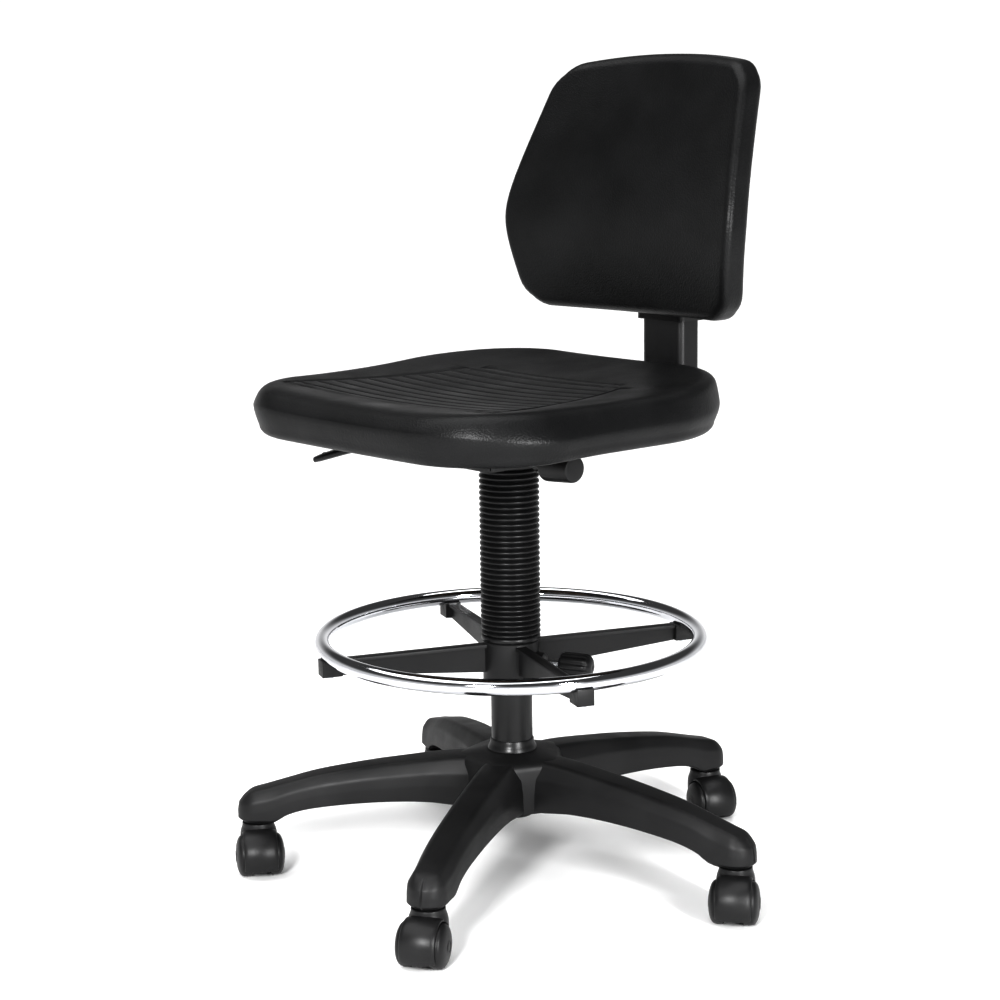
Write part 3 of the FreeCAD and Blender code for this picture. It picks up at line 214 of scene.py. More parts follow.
def ringFaces(rows, count):
    # quads between closed rings that all have as many points
    return [(row * count + step, row * count + (step + 1) % count,
             (row + 1) * count + (step + 1) % count, (row + 1) * count + step)
            for row in range(rows - 1) for step in range(count)]


def skinned(name, sections, sharpAngle=None):
    # a capped skin over closed sections
    count = len(sections[0])
    points = [point for section in sections for point in section]
    faces = ringFaces(len(sections), count)
    faces.append(tuple(range(count))[::-1])
    faces.append(tuple(range(len(points) - count, len(points))))
    return meshPiece(name, points, faces, sharpAngle)


def prism(name, outline, low, high, sharpAngle=35):
    # a flat outline in x and y, raised from one height to another
    return skinned(name, [[(p.x, p.y, low) for p in outline], [(p.x, p.y, high) for p in outline]],
                   sharpAngle=sharpAngle)


# Geometry Nodes: each tree is built here, with named inputs for its sizes


class NodeMaker:
    def add(self, kind, links=(), **settings):
        # each socket is linked to a source or set to a value
        node = self.tree.nodes.new(kind)
        for key, value in settings.items():
            setattr(node, key, value)
        for socket, source in dict(links).items():
            if isinstance(source, bpy.types.NodeSocket):
                self.tree.links.new(source, node.inputs[socket])
            else:
                node.inputs[socket].default_value = source
        return node


class Tree(NodeMaker):
    def __init__(self, name, inputs):
        self.tree = bpy.data.node_groups.new(name, "GeometryNodeTree")
        self.sockets = {}
        face = self.tree.interface
        face.new_socket("Geometry", in_out="INPUT", socket_type="NodeSocketGeometry")
        for label, value in inputs.items():
            kind = "NodeSocketInt" if isinstance(value, int) else "NodeSocketFloat"
            self.sockets[label] = face.new_socket(label, in_out="INPUT", socket_type=kind).identifier
        face.new_socket("Geometry", in_out="OUTPUT", socket_type="NodeSocketGeometry")
        self.values = inputs
        self.start = self.tree.nodes.new("NodeGroupInput")
        self.end = self.tree.nodes.new("NodeGroupOutput")

    def math(self, operation, first, second=0.0):
        return self.add("ShaderNodeMath", {0: first, 1: second}, operation=operation).outputs[0]

    def value(self, label):
        return self.start.outputs[label]

    def finish(self, geometry, material):
        real = self.add("GeometryNodeRealizeInstances", {"Geometry": geometry})
        painted = self.add("GeometryNodeSetMaterial", {"Geometry": real.outputs[0], "Material": material})
        self.tree.links.new(painted.outputs[0], self.end.inputs[0])

    def make(self, name, part=None, sharpAngle=None):
        # runs the tree, on a part's mesh where it takes one, and keeps the result as a plain mesh
        piece = newPiece(name, part.data if part else bpy.data.meshes.new(name))
        if part:
            bpy.data.objects.remove(part)
        maker = piece.modifiers.new("maker", "NODES")
        maker.node_group = self.tree
        for label, identifier in self.sockets.items():
            maker[identifier] = self.values[label]
        settle(piece)
        cleaned(piece.data, sharpAngle)
        return piece


def ringOfCopies(name, part, count, material, first, sharpAngle):
    # copies of a part, evenly spun about +Z, as one mesh
    tree = Tree(name + "Ring", {"Count": count, "First": first})
    each = tree.math("DIVIDE", math.tau, tree.value("Count"))
    index = tree.add("GeometryNodeInputIndex").outputs[0]
    turn = tree.math("ADD", tree.math("MULTIPLY", index, each), tree.value("First"))
    spots = tree.add("GeometryNodeMeshLine", {"Count": tree.value("Count"), "Offset": (0, 0, 0)})
    spin = tree.add("ShaderNodeCombineXYZ", {2: turn})
    copies = tree.add("GeometryNodeInstanceOnPoints", {
        "Points": spots.outputs[0], "Instance": tree.value("Geometry"), "Rotation": spin.outputs[0]})
    tree.finish(copies.outputs[0], material)
    return tree.make(name, part, sharpAngle)


# finishes, all worked out from Object coordinates


class Finish(NodeMaker):
    # a principled shader with a few noise and grain helpers round it
    def __init__(self, name, **constants):
        self.material = bpy.data.materials.new(name)
        self.material.use_nodes = True
        self.tree = self.material.node_tree
        self.shader = self.tree.nodes["Principled BSDF"]
        self.where = self.tree.nodes.new("ShaderNodeTexCoord").outputs["Object"]
        self.normal = None
        for label, value in constants.items():
            self.shader.inputs[label.replace("_", " ")].default_value = value

    def noise(self, size, detail=2.0, stretch=(1, 1, 1), roughness=0.5):
        place = self.add("ShaderNodeMapping", {"Vector": self.where, "Scale": stretch})
        cloud = self.add("ShaderNodeTexNoise", {
            "Vector": place.outputs[0], "Scale": 1 / size, "Detail": detail, "Roughness": roughness})
        return cloud.outputs["Fac"]

    def cells(self, size, smoothness):
        cells = self.add("ShaderNodeTexVoronoi", {"Vector": self.where, "Scale": 1 / size}, feature="SMOOTH_F1")
        cells.inputs["Smoothness"].default_value = smoothness
        return cells.outputs["Distance"]

    def between(self, source, low, high, start=0.3, end=0.7):
        ramp = self.add("ShaderNodeMapRange", {"Value": source, "From Min": start, "From Max": end,
                                               "To Min": low, "To Max": high})
        return ramp.outputs[0]

    def tint(self, source, dark, light, start=0.3, end=0.7):
        share = self.between(source, 0.0, 1.0, start, end)
        blend = self.add("ShaderNodeMix", {"Factor": share}, data_type="RGBA")
        blend.inputs["A"].default_value = (*dark, 1)
        blend.inputs["B"].default_value = (*light, 1)
        self.tree.links.new(blend.outputs["Result"], self.shader.inputs["Base Color"])

    def rough(self, source, low, high, start=0.3, end=0.7):
        self.tree.links.new(self.between(source, low, high, start, end), self.shader.inputs["Roughness"])

    def bump(self, source, depth, strength=1.0):
        links = {"Height": source, "Distance": depth, "Strength": strength}
        if self.normal is not None:
            links["Normal"] = self.normal
        self.normal = self.add("ShaderNodeBump", links).outputs[0]
        self.tree.links.new(self.normal, self.shader.inputs["Normal"])


def mouldedSkin():
    # self-skinned foam: pebble grain with a soft sheen, a little smoother where it is rubbed
    look = {"dark": (0.0065, 0.0067, 0.007), "light": (0.0125, 0.0127, 0.0132), "pebble": 0.0022,
            "pebbleDepth": 0.00045, "pore": 0.0006, "poreDepth": 0.00012}
    skin = Finish("mouldedSkin", Specular_IOR_Level=0.34)
    skin.tint(skin.noise(0.09, 3), look["dark"], look["light"])
    skin.rough(skin.noise(0.05, 4), 0.36, 0.46)
    skin.bump(skin.cells(look["pebble"], 0.6), look["pebbleDepth"], 0.55)
    skin.bump(skin.noise(look["pore"], 2), look["poreDepth"], 0.4)
    return skin.material


def mouldedNylon(name, dark, light, low, high, grain=0.0009):
    # glass-filled nylon with a spark-eroded texture
    nylon = Finish(name, Specular_IOR_Level=0.45)
    nylon.tint(nylon.noise(0.06, 4), dark, light)
    nylon.rough(nylon.noise(0.03, 4), low, high)
    nylon.bump(nylon.noise(grain, 3, roughness=0.7), 0.00016, 0.5)
    return nylon.material


def powderCoat():
    # black powder coat with its orange peel
    coat = Finish("powderCoat", Specular_IOR_Level=0.5)
    coat.tint(coat.noise(0.05, 3), (0.008, 0.008, 0.0085), (0.014, 0.014, 0.0145))
    coat.rough(coat.noise(0.02, 3), 0.28, 0.38)
    coat.bump(coat.noise(0.0016, 2), 0.00012, 0.35)
    return coat.material


def sleeveRubber():
    sleeve = Finish("sleeveRubber", Specular_IOR_Level=0.5)
    sleeve.tint(sleeve.noise(0.03, 4), (0.0075, 0.0075, 0.008), (0.013, 0.013, 0.0135))
    sleeve.rough(sleeve.noise(0.012, 4), 0.3, 0.42)
    sleeve.bump(sleeve.noise(0.0012, 3), 0.00012, 0.4)
    return sleeve.material


def brightChrome():
    chrome = Finish("brightChrome", Metallic=1.0)
    chrome.tint(chrome.noise(0.08, 3), (0.56, 0.57, 0.59), (0.68, 0.68, 0.7))
    chrome.rough(chrome.noise(0.02, 5), 0.045, 0.1)
    chrome.bump(chrome.noise(0.006, 2), 0.00005, 0.12)
    return chrome.material


def zincPlate():
    zinc = Finish("zincPlate", Metallic=1.0)
    zinc.tint(zinc.noise(0.004, 4), (0.42, 0.43, 0.45), (0.62, 0.63, 0.64))
    zinc.rough(zinc.noise(0.003, 3), 0.26, 0.42)
    zinc.bump(zinc.noise(0.0008, 2), 0.00004, 0.3)
    return zinc.material


def seatBoard():
    # plywood stained dark, with the grain running front to back
    board = Finish("seatBoard", Specular_IOR_Level=0.3)
    board.tint(board.noise(0.004, 5, (1, 0.04, 1)), (0.03, 0.021, 0.014), (0.075, 0.052, 0.034), 0.35, 0.65)
    board.rough(board.noise(0.01, 3, (1, 0.1, 1)), 0.5, 0.68)
    board.bump(board.noise(0.0015, 3, (1, 0.05, 1)), 0.0002, 0.5)
    return board.material


# one finish for each material slot
finishes = {
    "urethane_foam": mouldedSkin(),
    "base_nylon": mouldedNylon("baseNylon", (0.011, 0.011, 0.0115), (0.018, 0.018, 0.0185), 0.42, 0.52),
    "caster_nylon": mouldedNylon("casterNylon", (0.013, 0.013, 0.0135), (0.021, 0.021, 0.0215), 0.34, 0.44),
    "wheel_plastic": mouldedNylon("wheelNylon", (0.011, 0.011, 0.0115), (0.018, 0.018, 0.0185), 0.36, 0.46),
    "hub_nylon": mouldedNylon("hubNylon", (0.01, 0.01, 0.0105), (0.016, 0.016, 0.0165), 0.38, 0.48),
    "black_plastic": mouldedNylon("knobPlastic", (0.01, 0.01, 0.0105), (0.016, 0.016, 0.0165), 0.32, 0.42, 0.0007),
    "black_steel": powderCoat(),
    "bellows_rubber": sleeveRubber(),
    "chrome_tube": brightChrome(),
    "zinc_steel": zincPlate(),
    "pan_board": seatBoard(),
}

# CAD nodes that show as they are take the finish of their own slot
for subpart in frame["record"]["subparts"]:
    node = frame["nodes"][subpart["node"]]
    node.data.materials.clear()
    node.data.materials.append(finishes[subpart["material_slot"]])
print("finishes made")

# moulded cushions: a fine front sheet, rounded rims and a plain back sheet in one closed skin


def cushionSkin(name, rows, columns, topPoint, rimPoint, rimSteps, rearPoint):
    # every point comes from where it is across (-1 to 1) and along (-1 to 1) the cushion
    wide, long = len(columns), len(rows)
    points = [topPoint(across, ahead) for ahead in rows for across in columns]
    sheet = [(first, first + 1, first + wide + 1, first + wide)
             for row in range(long - 1) for first in range(row * wide, (row + 1) * wide - 1)]
    faces = list(sheet)
    edge = [(column, 0) for column in range(wide)] + [(wide - 1, row) for row in range(1, long)]
    edge += [(column, long - 1) for column in range(wide - 2, -1, -1)]
    edge += [(0, row) for row in range(long - 2, 0, -1)]
    loop = [row * wide + column for column, row in edge]
    for step in range(1, rimSteps + 1):
        start = len(points)
        points += [rimPoint(columns[column], rows[row], step / rimSteps) for column, row in edge]
        for index in range(len(loop)):
            after = (index + 1) % len(loop)
            faces.append((loop[index], loop[after], start + after, start + index))
        loop = list(range(start, len(points)))
    start = len(points)
    points += [rearPoint(across, ahead) for ahead in rows for across in columns]
    faces += [(start + a, start + d, start + c, start + b) for a, b, c, d in sheet]
    last = [start + row * wide + column for column, row in edge]
    for index in range(len(loop)):
        after = (index + 1) % len(loop)
        faces.append((loop[index], loop[after], last[after], last[index]))
    return meshPiece(name, points, faces)


def cornered(across, ahead, half, low, high, radii, insetSide, insetLow, insetHigh):
    # a place in an outline with round corners: half(ahead) wide each side, from low to high
    share = (ahead + 1) / 2
    radius = radii[0] if share < 0.5 else radii[1]
    y = mix(low + insetLow, high - insetHigh, share)
    width = half(y) - insetSide
    x = across * width
    middle, spread = (low + high) / 2, (high - low) / 2
    dx = abs(x) - (half(y) - radius)
    dy = abs(y - middle) - (spread - radius)
    turn = 0.0
    if dy > 0:
        turn = 1.0
    if dx > 0 and dy > 0:
        reachX = max(radius - insetSide, 1e-4)
        reachY = max(radius - (insetLow if y < middle else insetHigh), 1e-4)
        shareX, shareY = dx / reachX, dy / reachY
        pull = max(shareX, shareY) / math.hypot(shareX, shareY)
        turn = shareY ** 2 / (shareX ** 2 + shareY ** 2)
        x = math.copysign(half(y) - radius + dx * pull, x)
        y = middle + math.copysign(spread - radius + dy * pull, y - middle)
    return x, y, turn


def steppedRows(low, high, spacing, extra=()):
    # even places from low to high, with extra ones where a groove or a step needs them
    count = max(2, round((high - low) / spacing))
    places = [mix(low, high, index / count) for index in range(count + 1)]
    clear = [place for place in places[1:-1] if all(abs(place - wanted) > spacing * 0.3 for wanted in extra)]
    return sorted([low, high, *clear, *(wanted for wanted in extra if low < wanted < high)])


# seat

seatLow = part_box("seat_cushion")[0]
boardLow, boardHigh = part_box("seat_pan")
seat = {
    "front": -0.259, "rear": 0.191, "frontWidth": 0.481, "rearWidth": 0.508, "frontCorner": 0.122,
    "rearCorner": 0.157, "frontTopCorner": 0.1, "rearTopCorner": 0.15, "frontBow": 0.0073,
    "rearBow": 0.0046, "frontBowSpan": (0.172, 0.205), "rearBowSpan": (0.08, 0.14),
    "foot": seatLow.z, "panelLevel": 0.5885, "dishSet": -0.052, "dishRise": 0.024, "dishSoft": 0.05,
    "frontRise": 0.011, "frontSoft": 0.04, "sideRise": 0.008, "sideFill": 0.006, "sideSet": 0.024,
    "sideSetRear": 0.01, "frontSet": 0.018, "rearSet": 0.006, "sideRound": 0.017, "frontRound": 0.026,
    "rearRound": 0.015, "sideFall": 0.72, "frontFall": 0.48, "rearFall": 0.55, "rimFall": 0.045,
    "creaseEnd": 0.45, "creaseMost": 0.7, "rimPower": 1.25, "fallEnd": 0.62, "faceEnd": 0.76,
    "footRound": 0.012, "footDraft": 0.006, "frontLip": 0.003, "lipSpan": (0.06, 0.2), "boardGap": 0.0006,
    "panelFront": -0.188, "panelRear": 0.07, "panelFrontWidth": 0.37, "panelRearWidth": 0.264,
    "panelAcross": 0.76, "panelMost": 0.965, "grooves": 11, "grooveWidth": 0.0022, "grooveDepth": 0.0014,
    "borderDepth": 0.002, "rowSpacing": 0.0075, "columnSpacing": 0.045, "rimSteps": 26,
}
seatRowLow = seat["front"] + seat["frontBow"] + seat["frontSet"] + seat["frontRound"]
seatRowHigh = seat["rear"] - seat["rearBow"] - seat["rearSet"] - seat["rearRound"]


def seatHalf(y):
    share = (y - seat["front"]) / (seat["rear"] - seat["front"])
    return mix(seat["frontWidth"], seat["rearWidth"], share) / 2


def panelHalf(y):
    share = (y - seat["panelFront"]) / (seat["panelRear"] - seat["panelFront"])
    return mix(seat["panelFrontWidth"], seat["panelRearWidth"], min(max(share, -0.4), 1.6)) / 2


def grooveShape(distance, width):
    # 1 at the bottom of a groove, falling to 0 at its lips
    return max(0.0, 1 - (distance / width) ** 2) ** 1.5


grooveYs = [mix(seat["panelFront"], seat["panelRear"], (index + 0.75) / (seat["grooves"] + 0.5))
            for index in range(seat["grooves"])]


def seatTop(x, y):
    rear = softRamp(y - seat["dishSet"], seat["dishSoft"]) / (seat["rear"] - seat["dishSet"])
    front = softRamp(seat["dishSet"] - y, seat["frontSoft"]) / (seat["dishSet"] - seat["front"])
    height = seat["panelLevel"] + seat["dishRise"] * rear ** 2 + seat["frontRise"] * front ** 2
    side = seat["sideRise"] + seat["sideFill"] * (1 - rear ** 2) * (1 - front ** 2)
    height += side * (x / seatHalf(y)) ** 2
    inside = min(panelHalf(y) - abs(x), y - seat["panelFront"], seat["panelRear"] - y)
    height -= seat["borderDepth"] * grooveShape(inside, seat["grooveWidth"])
    if inside > seat["grooveWidth"] * 1.5:
        nearest = min(abs(y - groove) for groove in grooveYs)
        fade = smoothStep(inside, seat["grooveWidth"] * 1.5, seat["grooveWidth"] * 3)
        height -= seat["grooveDepth"] * grooveShape(nearest, seat["grooveWidth"]) * fade
    return height


def rimStep(reach, rounding, step):
    # how far in and down the rim is, from the flat top (0) over a rounded crease to the widest line (1)
    turned = min(rounding / math.hypot(reach, seat["rimFall"]), seat["creaseMost"])
    if step < seat["creaseEnd"]:
        t = step / seat["creaseEnd"]
        inset = (1 - t) ** 2 * (reach + rounding) + 2 * t * (1 - t) * reach + t * t * reach * (1 - turned)
        return inset, t * t * turned
    t = (step - seat["creaseEnd"]) / (1 - seat["creaseEnd"])
    return reach * (1 - turned) * (1 - t) ** seat["rimPower"], mix(turned, 1, t)


def seatSideSet(ahead):
    return mix(seat["sideSet"], seat["sideSetRear"], smoothStep(ahead, -0.9, 0.9))


def seatPlace(across, ahead, step, draft=0.0):
    edges = [rimStep(seatSideSet(ahead), seat["sideRound"], step),
             rimStep(seat["frontSet"], seat["frontRound"], step),
             rimStep(seat["rearSet"], seat["rearRound"], step)]
    radii = [mix(seat[end + "TopCorner"], seat[end + "Corner"], step) for end in ("front", "rear")]
    x, y, turn = cornered(across, ahead, seatHalf, seat["front"] + seat["frontBow"],
                          seat["rear"] - seat["rearBow"], radii, *(inset + draft for inset, _ in edges))
    bow = max(0.0, 1 - (x / seatHalf(y)) ** 2)
    end, name = (edges[1], "frontFall") if y < 0 else (edges[2], "rearFall")
    y -= seat["frontBow"] * bow * smoothStep(-y, *seat["frontBowSpan"])
    y += seat["rearBow"] * bow * smoothStep(y, *seat["rearBowSpan"])
    return x, y, mix(edges[0][1] * seat["sideFall"], end[1] * seat[name], turn)


def panelWarp(across, ahead):
    # bends the columns so that two of them run along the panel's sides
    y = mix(seatRowLow, seatRowHigh, (ahead + 1) / 2)
    flat = seatHalf(y) - seatSideSet(ahead) - seat["sideRound"]
    edge = min(panelHalf(y) / flat, seat["panelMost"])
    size, mark = abs(across), seat["panelAcross"]
    if size < mark:
        size = size / mark * edge
    else:
        size = mix(edge, 1, (size - mark) / (1 - mark))
    return math.copysign(size, across)


def seatTopPoint(across, ahead):
    x, y, _ = seatPlace(panelWarp(across, ahead), ahead, 0.0)
    return x, y, seatTop(x, y)


def seatFoot(y):
    return seat["foot"] - seat["frontLip"] * smoothStep(-y, *seat["lipSpan"])


def seatRimPoint(across, ahead, share):
    across = panelWarp(across, ahead)
    bend, side = seat["fallEnd"], seat["faceEnd"]
    step = min(share / bend, 1.0)
    x, y, fall = seatPlace(across, ahead, step)
    low = seatFoot(y) + seat["footRound"]
    high = mix(seatTop(x, y), low, fall)
    if share <= bend:
        return x, y, high
    if share <= side:
        down = (share - bend) / (side - bend)
        x, y, _ = seatPlace(across, ahead, 1.0, seat["footDraft"] * down ** 1.6)
        return x, y, mix(high, low, down)
    angle = (share - side) / (1 - side) * math.pi / 2
    x, y, _ = seatPlace(across, ahead, 1.0, seat["footDraft"] + seat["footRound"] * (1 - math.cos(angle)))
    return x, y, low - seat["footRound"] * math.sin(angle)


def seatRearPoint(across, ahead):
    # the underside, stepped in where the board lies in it
    x, y, _ = seatPlace(panelWarp(across, ahead), ahead, 1.0, seat["footDraft"] + seat["footRound"])
    inside = min(boardHigh.x - abs(x), y - boardLow.y, boardHigh.y - y)
    return x, y, mix(seatFoot(y), boardHigh.z + seat["boardGap"], smoothStep(inside, -0.004, 0.0))


offsets = (-1.1, -0.6, 0, 0.6, 1.1)
wantedRows = [line + offset * seat["grooveWidth"] for offset in offsets
              for line in (*grooveYs, seat["panelFront"], seat["panelRear"])]
seatRows = [2 * (y - seatRowLow) / (seatRowHigh - seatRowLow) - 1
            for y in steppedRows(seatRowLow, seatRowHigh, seat["rowSpacing"], wantedRows)]
panelOffset = seat["grooveWidth"] / 0.2
wantedColumns = [side * (seat["panelAcross"] + offset * panelOffset * 0.9) for side in (-1, 1)
                 for offset in (-3, -2, -1.1, -0.6, 0, 0.6, 1.1)]
seatColumns = steppedRows(-1, 1, seat["columnSpacing"], wantedColumns)
seatPad = cushionSkin("seatPad", seatRows, seatColumns, seatTopPoint, seatRimPoint,
                      seat["rimSteps"], seatRearPoint)
seated(seatPad, "seat", "urethane_foam", "seat_cushion")
print("seat made", len(seatPad.data.polygons), "faces")

# backrest

restLow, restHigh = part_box("backrest_cushion")
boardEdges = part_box("backrest_insert")
rest = {
    "foot": restLow.z, "head": restHigh.z, "waist": 0.7775, "footWidth": 0.346, "waistWidth": 0.401,
    "headWidth": 0.321, "footCorner": 0.034, "headCorner": 0.034, "waistSoft": 0.0115, "edgeSet": 0.151,
    "lean": 0.385, "footLean": 0.21, "leanSoft": 0.05, "hollow": 0.031, "frontRound": 0.012,
    "rearRound": 0.012, "thickness": 0.039, "headArch": 0.014, "footArch": 0.001, "spacing": 0.008,
    "bendEnd": 0.42, "faceEnd": 0.58, "rimSteps": 18, "bossSlope": (-0.026, -0.007), "bossGap": 0.001,
}


def restHalf(z):
    # two straight sides that meet in a soft waist
    below = mix(rest["footWidth"], rest["waistWidth"], (z - rest["foot"]) / (rest["waist"] - rest["foot"])) / 2
    above = mix(rest["waistWidth"], rest["headWidth"],
                (z - rest["waist"]) / (rest["head"] - rest["waist"])) / 2
    return below - softRamp(below - above, rest["waistSoft"])


def restFront(x, z):
    # the front face: hollow across, leaning back above and below the waist
    edge = rest["edgeSet"] + rest["lean"] * softRamp(z - rest["waist"], rest["leanSoft"])
    edge += rest["footLean"] * softRamp(rest["waist"] - z, rest["leanSoft"])
    return edge + rest["hollow"] * (1 - (x / (rest["waistWidth"] / 2)) ** 2)


def restPlace(across, ahead, inset):
    corners = (rest["footCorner"], rest["headCorner"])
    x, z, _ = cornered(across, ahead, restHalf, rest["foot"], rest["head"], corners, inset, inset, inset)
    share = x / restHalf(z)
    if z > rest["waist"]:
        z -= rest["headArch"] * share ** 2 * smoothStep(z, rest["waist"], rest["head"])
    else:
        z += rest["footArch"] * share ** 2 * smoothStep(rest["waist"] - z, 0, rest["waist"] - rest["foot"])
    return x, z


def restFrontPoint(across, ahead):
    x, z = restPlace(across, ahead, rest["frontRound"])
    return x, restFront(x, z), z


def restRimPoint(across, ahead, share):
    bend, side = rest["bendEnd"], rest["faceEnd"]
    if share <= bend:
        angle = share / bend * math.pi / 2
        x, z = restPlace(across, ahead, rest["frontRound"] * (1 - math.sin(angle)))
        return x, restFront(x, z) + rest["frontRound"] * (1 - math.cos(angle)), z
    if share <= side:
        x, z = restPlace(across, ahead, 0.0)
        depth = rest["thickness"] - rest["frontRound"] - rest["rearRound"]
        return x, restFront(x, z) + rest["frontRound"] + depth * (share - bend) / (side - bend), z
    angle = (share - side) / (1 - side) * math.pi / 2
    x, z = restPlace(across, ahead, rest["rearRound"] * (1 - math.cos(angle)))
    return x, restFront(x, z) + rest["thickness"] - rest["rearRound"] * (1 - math.sin(angle)), z


def restRearPoint(across, ahead):
    # the back carries a raised seat for the slider, round the board set in it
    x, z = restPlace(across, ahead, rest["rearRound"])
    y = restFront(x, z) + rest["thickness"]
    inside = min(boardEdges[1].x - abs(x), z - boardEdges[0].z, boardEdges[1].z - z)
    return x, mix(y, max(y, boardEdges[1].y - rest["bossGap"]), smoothStep(inside, *rest["bossSlope"])), z


restRows = steppedRows(-1, 1, rest["spacing"] / 0.157)
restColumns = steppedRows(-1, 1, rest["spacing"] / 0.185)
restPad = cushionSkin("restPad", restRows, restColumns, restFrontPoint, restRimPoint, rest["rimSteps"],
                      restRearPoint)
seated(restPad, "backrest", "urethane_foam", "backrest_cushion")
print("backrest made", len(restPad.data.polygons), "faces")

# base star: five arched arms with ribs inside, round a hub with flat faces between them


def middleOf(node):
    low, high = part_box(node)
    return (low + high) / 2


def traced(table, place):
    # a smooth line through pairs of place and value
    if place <= table[0][0]:
        return table[0][1]
    if place >= table[-1][0]:
        return table[-1][1]
    index = max(step for step, pair in enumerate(table) if pair[0] <= place)
    (x0, y0), (x1, y1) = table[index], table[index + 1]
    before, after = table[max(index - 1, 0)], table[min(index + 2, len(table) - 1)]
    slope0, slope1 = (y1 - before[1]) / (x1 - before[0]), (after[1] - y0) / (after[0] - x0)
    t, gap = (place - x0) / (x1 - x0), x1 - x0
    return ((2 * t ** 3 - 3 * t ** 2 + 1) * y0 + (t ** 3 - 2 * t ** 2 + t) * gap * slope0
            + (3 * t ** 2 - 2 * t ** 3) * y1 + (t ** 3 - t ** 2) * gap * slope1)


firstStem = middleOf("caster_1_stem")
star = {
    "arms": 5, "firstArm": math.atan2(firstStem.y, firstStem.x), "rootWidth": 0.06, "tipWidth": 0.047,
    "tip": math.hypot(firstStem.x, firstStem.y) + 0.024, "wall": 0.004, "rim": 0.0045,
    "top": ((0.0, 0.1465), (0.06, 0.146), (0.08, 0.145), (0.11, 0.142), (0.14, 0.1385), (0.16, 0.1362),
            (0.2, 0.1302), (0.24, 0.123), (0.28, 0.1125), (0.31, 0.1045), (0.336, 0.0985)),
    "foot": ((0.0, 0.084), (0.06, 0.0855), (0.08, 0.088), (0.1, 0.0905), (0.13, 0.0915), (0.16, 0.091),
             (0.2, 0.0885), (0.24, 0.084), (0.26, 0.08), (0.276, 0.0745), (0.288, 0.067), (0.296, 0.064),
             (0.31, 0.0635), (0.336, 0.0635)),
    "recess": (0.072, 0.086, 0.268, 0.282), "ribs": (0.1, 0.135, 0.17, 0.205, 0.24), "ribWidth": 0.0025,
    "hubFlat": 0.06, "hubFoot": 0.082, "hubRound": 0.012,
}


def armHalf(reach):
    return mix(star["rootWidth"], star["tipWidth"], min(max((reach - 0.06) / 0.25, 0), 1)) / 2


def armSection(reach, beyond=0.0):
    # beyond runs from 0 to 1 round the arm's end
    low, high = traced(star["foot"], reach), traced(star["top"], reach)
    half = armHalf(reach) * math.sqrt(max(1 - beyond * beyond, 0.0))
    depth = high - low
    rim = mix(0.001, star["rim"], smoothStep(reach, 0.284, 0.3))
    edge = min(rim, half * 0.8)
    wall = min(star["wall"], half * 0.9)
    start, full, last, end = star["recess"]
    hollow = (depth - 0.006) * smoothStep(reach, start, full) * (1 - smoothStep(reach, last, end))
    right = [(half - edge, low), (half, low + rim), (half * 0.985, low + 0.38 * depth),
             (half * 0.93, high - 0.34 * depth), (half * 0.6, high - 0.0012)]
    inner = [(half * 0.52, low + hollow), (half * 0.88 - wall, low + hollow * 0.64), (half - wall, low)]
    corners = [(-x, z) for x, z in right] + right[::-1] + inner[::-1] + [(-x, z) for x, z in inner]
    radii = [0.0, 0.0015, 0.03, 0.013, 0.009] + [0.009, 0.013, 0.03, 0.0015, 0.0] + [0.0] * 6
    section = []
    for point in rounded(corners, radii, 4):
        below = max(0.0, 1 - (point.y - low) / rim)
        above = max(0.0, (point.y - low - 0.014) / (depth - 0.014))
        pull = (star["rim"] * below + 0.013 * above ** 2.4) * beyond ** 1.5
        section.append((reach - pull, point.x, point.y))
    return section


tipStart = star["tip"] - star["tipWidth"] / 2
armSections = [armSection(reach) for reach in steppedRows(0.02, tipStart, 0.006)]
armSections += [armSection(tipStart + (star["tip"] - tipStart) * math.sin(turn), math.sin(turn))
                for turn in [math.radians(step) for step in (8, 16, 24, 32, 40, 48, 56, 64, 71, 77, 82, 86.5)]]
arm = skinned("arm", armSections, sharpAngle=38)
armRibs = []
for reach in star["ribs"]:
    half = armHalf(reach)
    low, high = traced(star["foot"], reach) + 0.002, traced(star["top"], reach) - 0.0045
    wide, level = half - star["wall"] * 0.7, low + (high - low) * 0.6
    outline = [(-wide, low), (wide, low), (half * 0.86 - star["wall"] * 0.5, level), (half * 0.5, high),
               (-half * 0.5, high), (star["wall"] * 0.5 - half * 0.86, level)]
    armRibs.append(skinned("rib", [[(reach + side * star["ribWidth"] / 2, x, z) for x, z in outline]
                                   for side in (-1, 1)], sharpAngle=30))
spineSections = [[(reach, side * 0.0011, height) for side, height in
                  ((-1, traced(star["foot"], reach) + 0.004), (1, traced(star["foot"], reach) + 0.004),
                   (1, traced(star["top"], reach) - 0.005), (-1, traced(star["top"], reach) - 0.005))]
                 for reach in steppedRows(0.07, 0.278, 0.01)]
armRibs.append(skinned("spine", spineSections, sharpAngle=30))
arms = ringOfCopies("arms", joined("armSet", arm, *armRibs), star["arms"], finishes["base_nylon"],
                    star["firstArm"], 38)

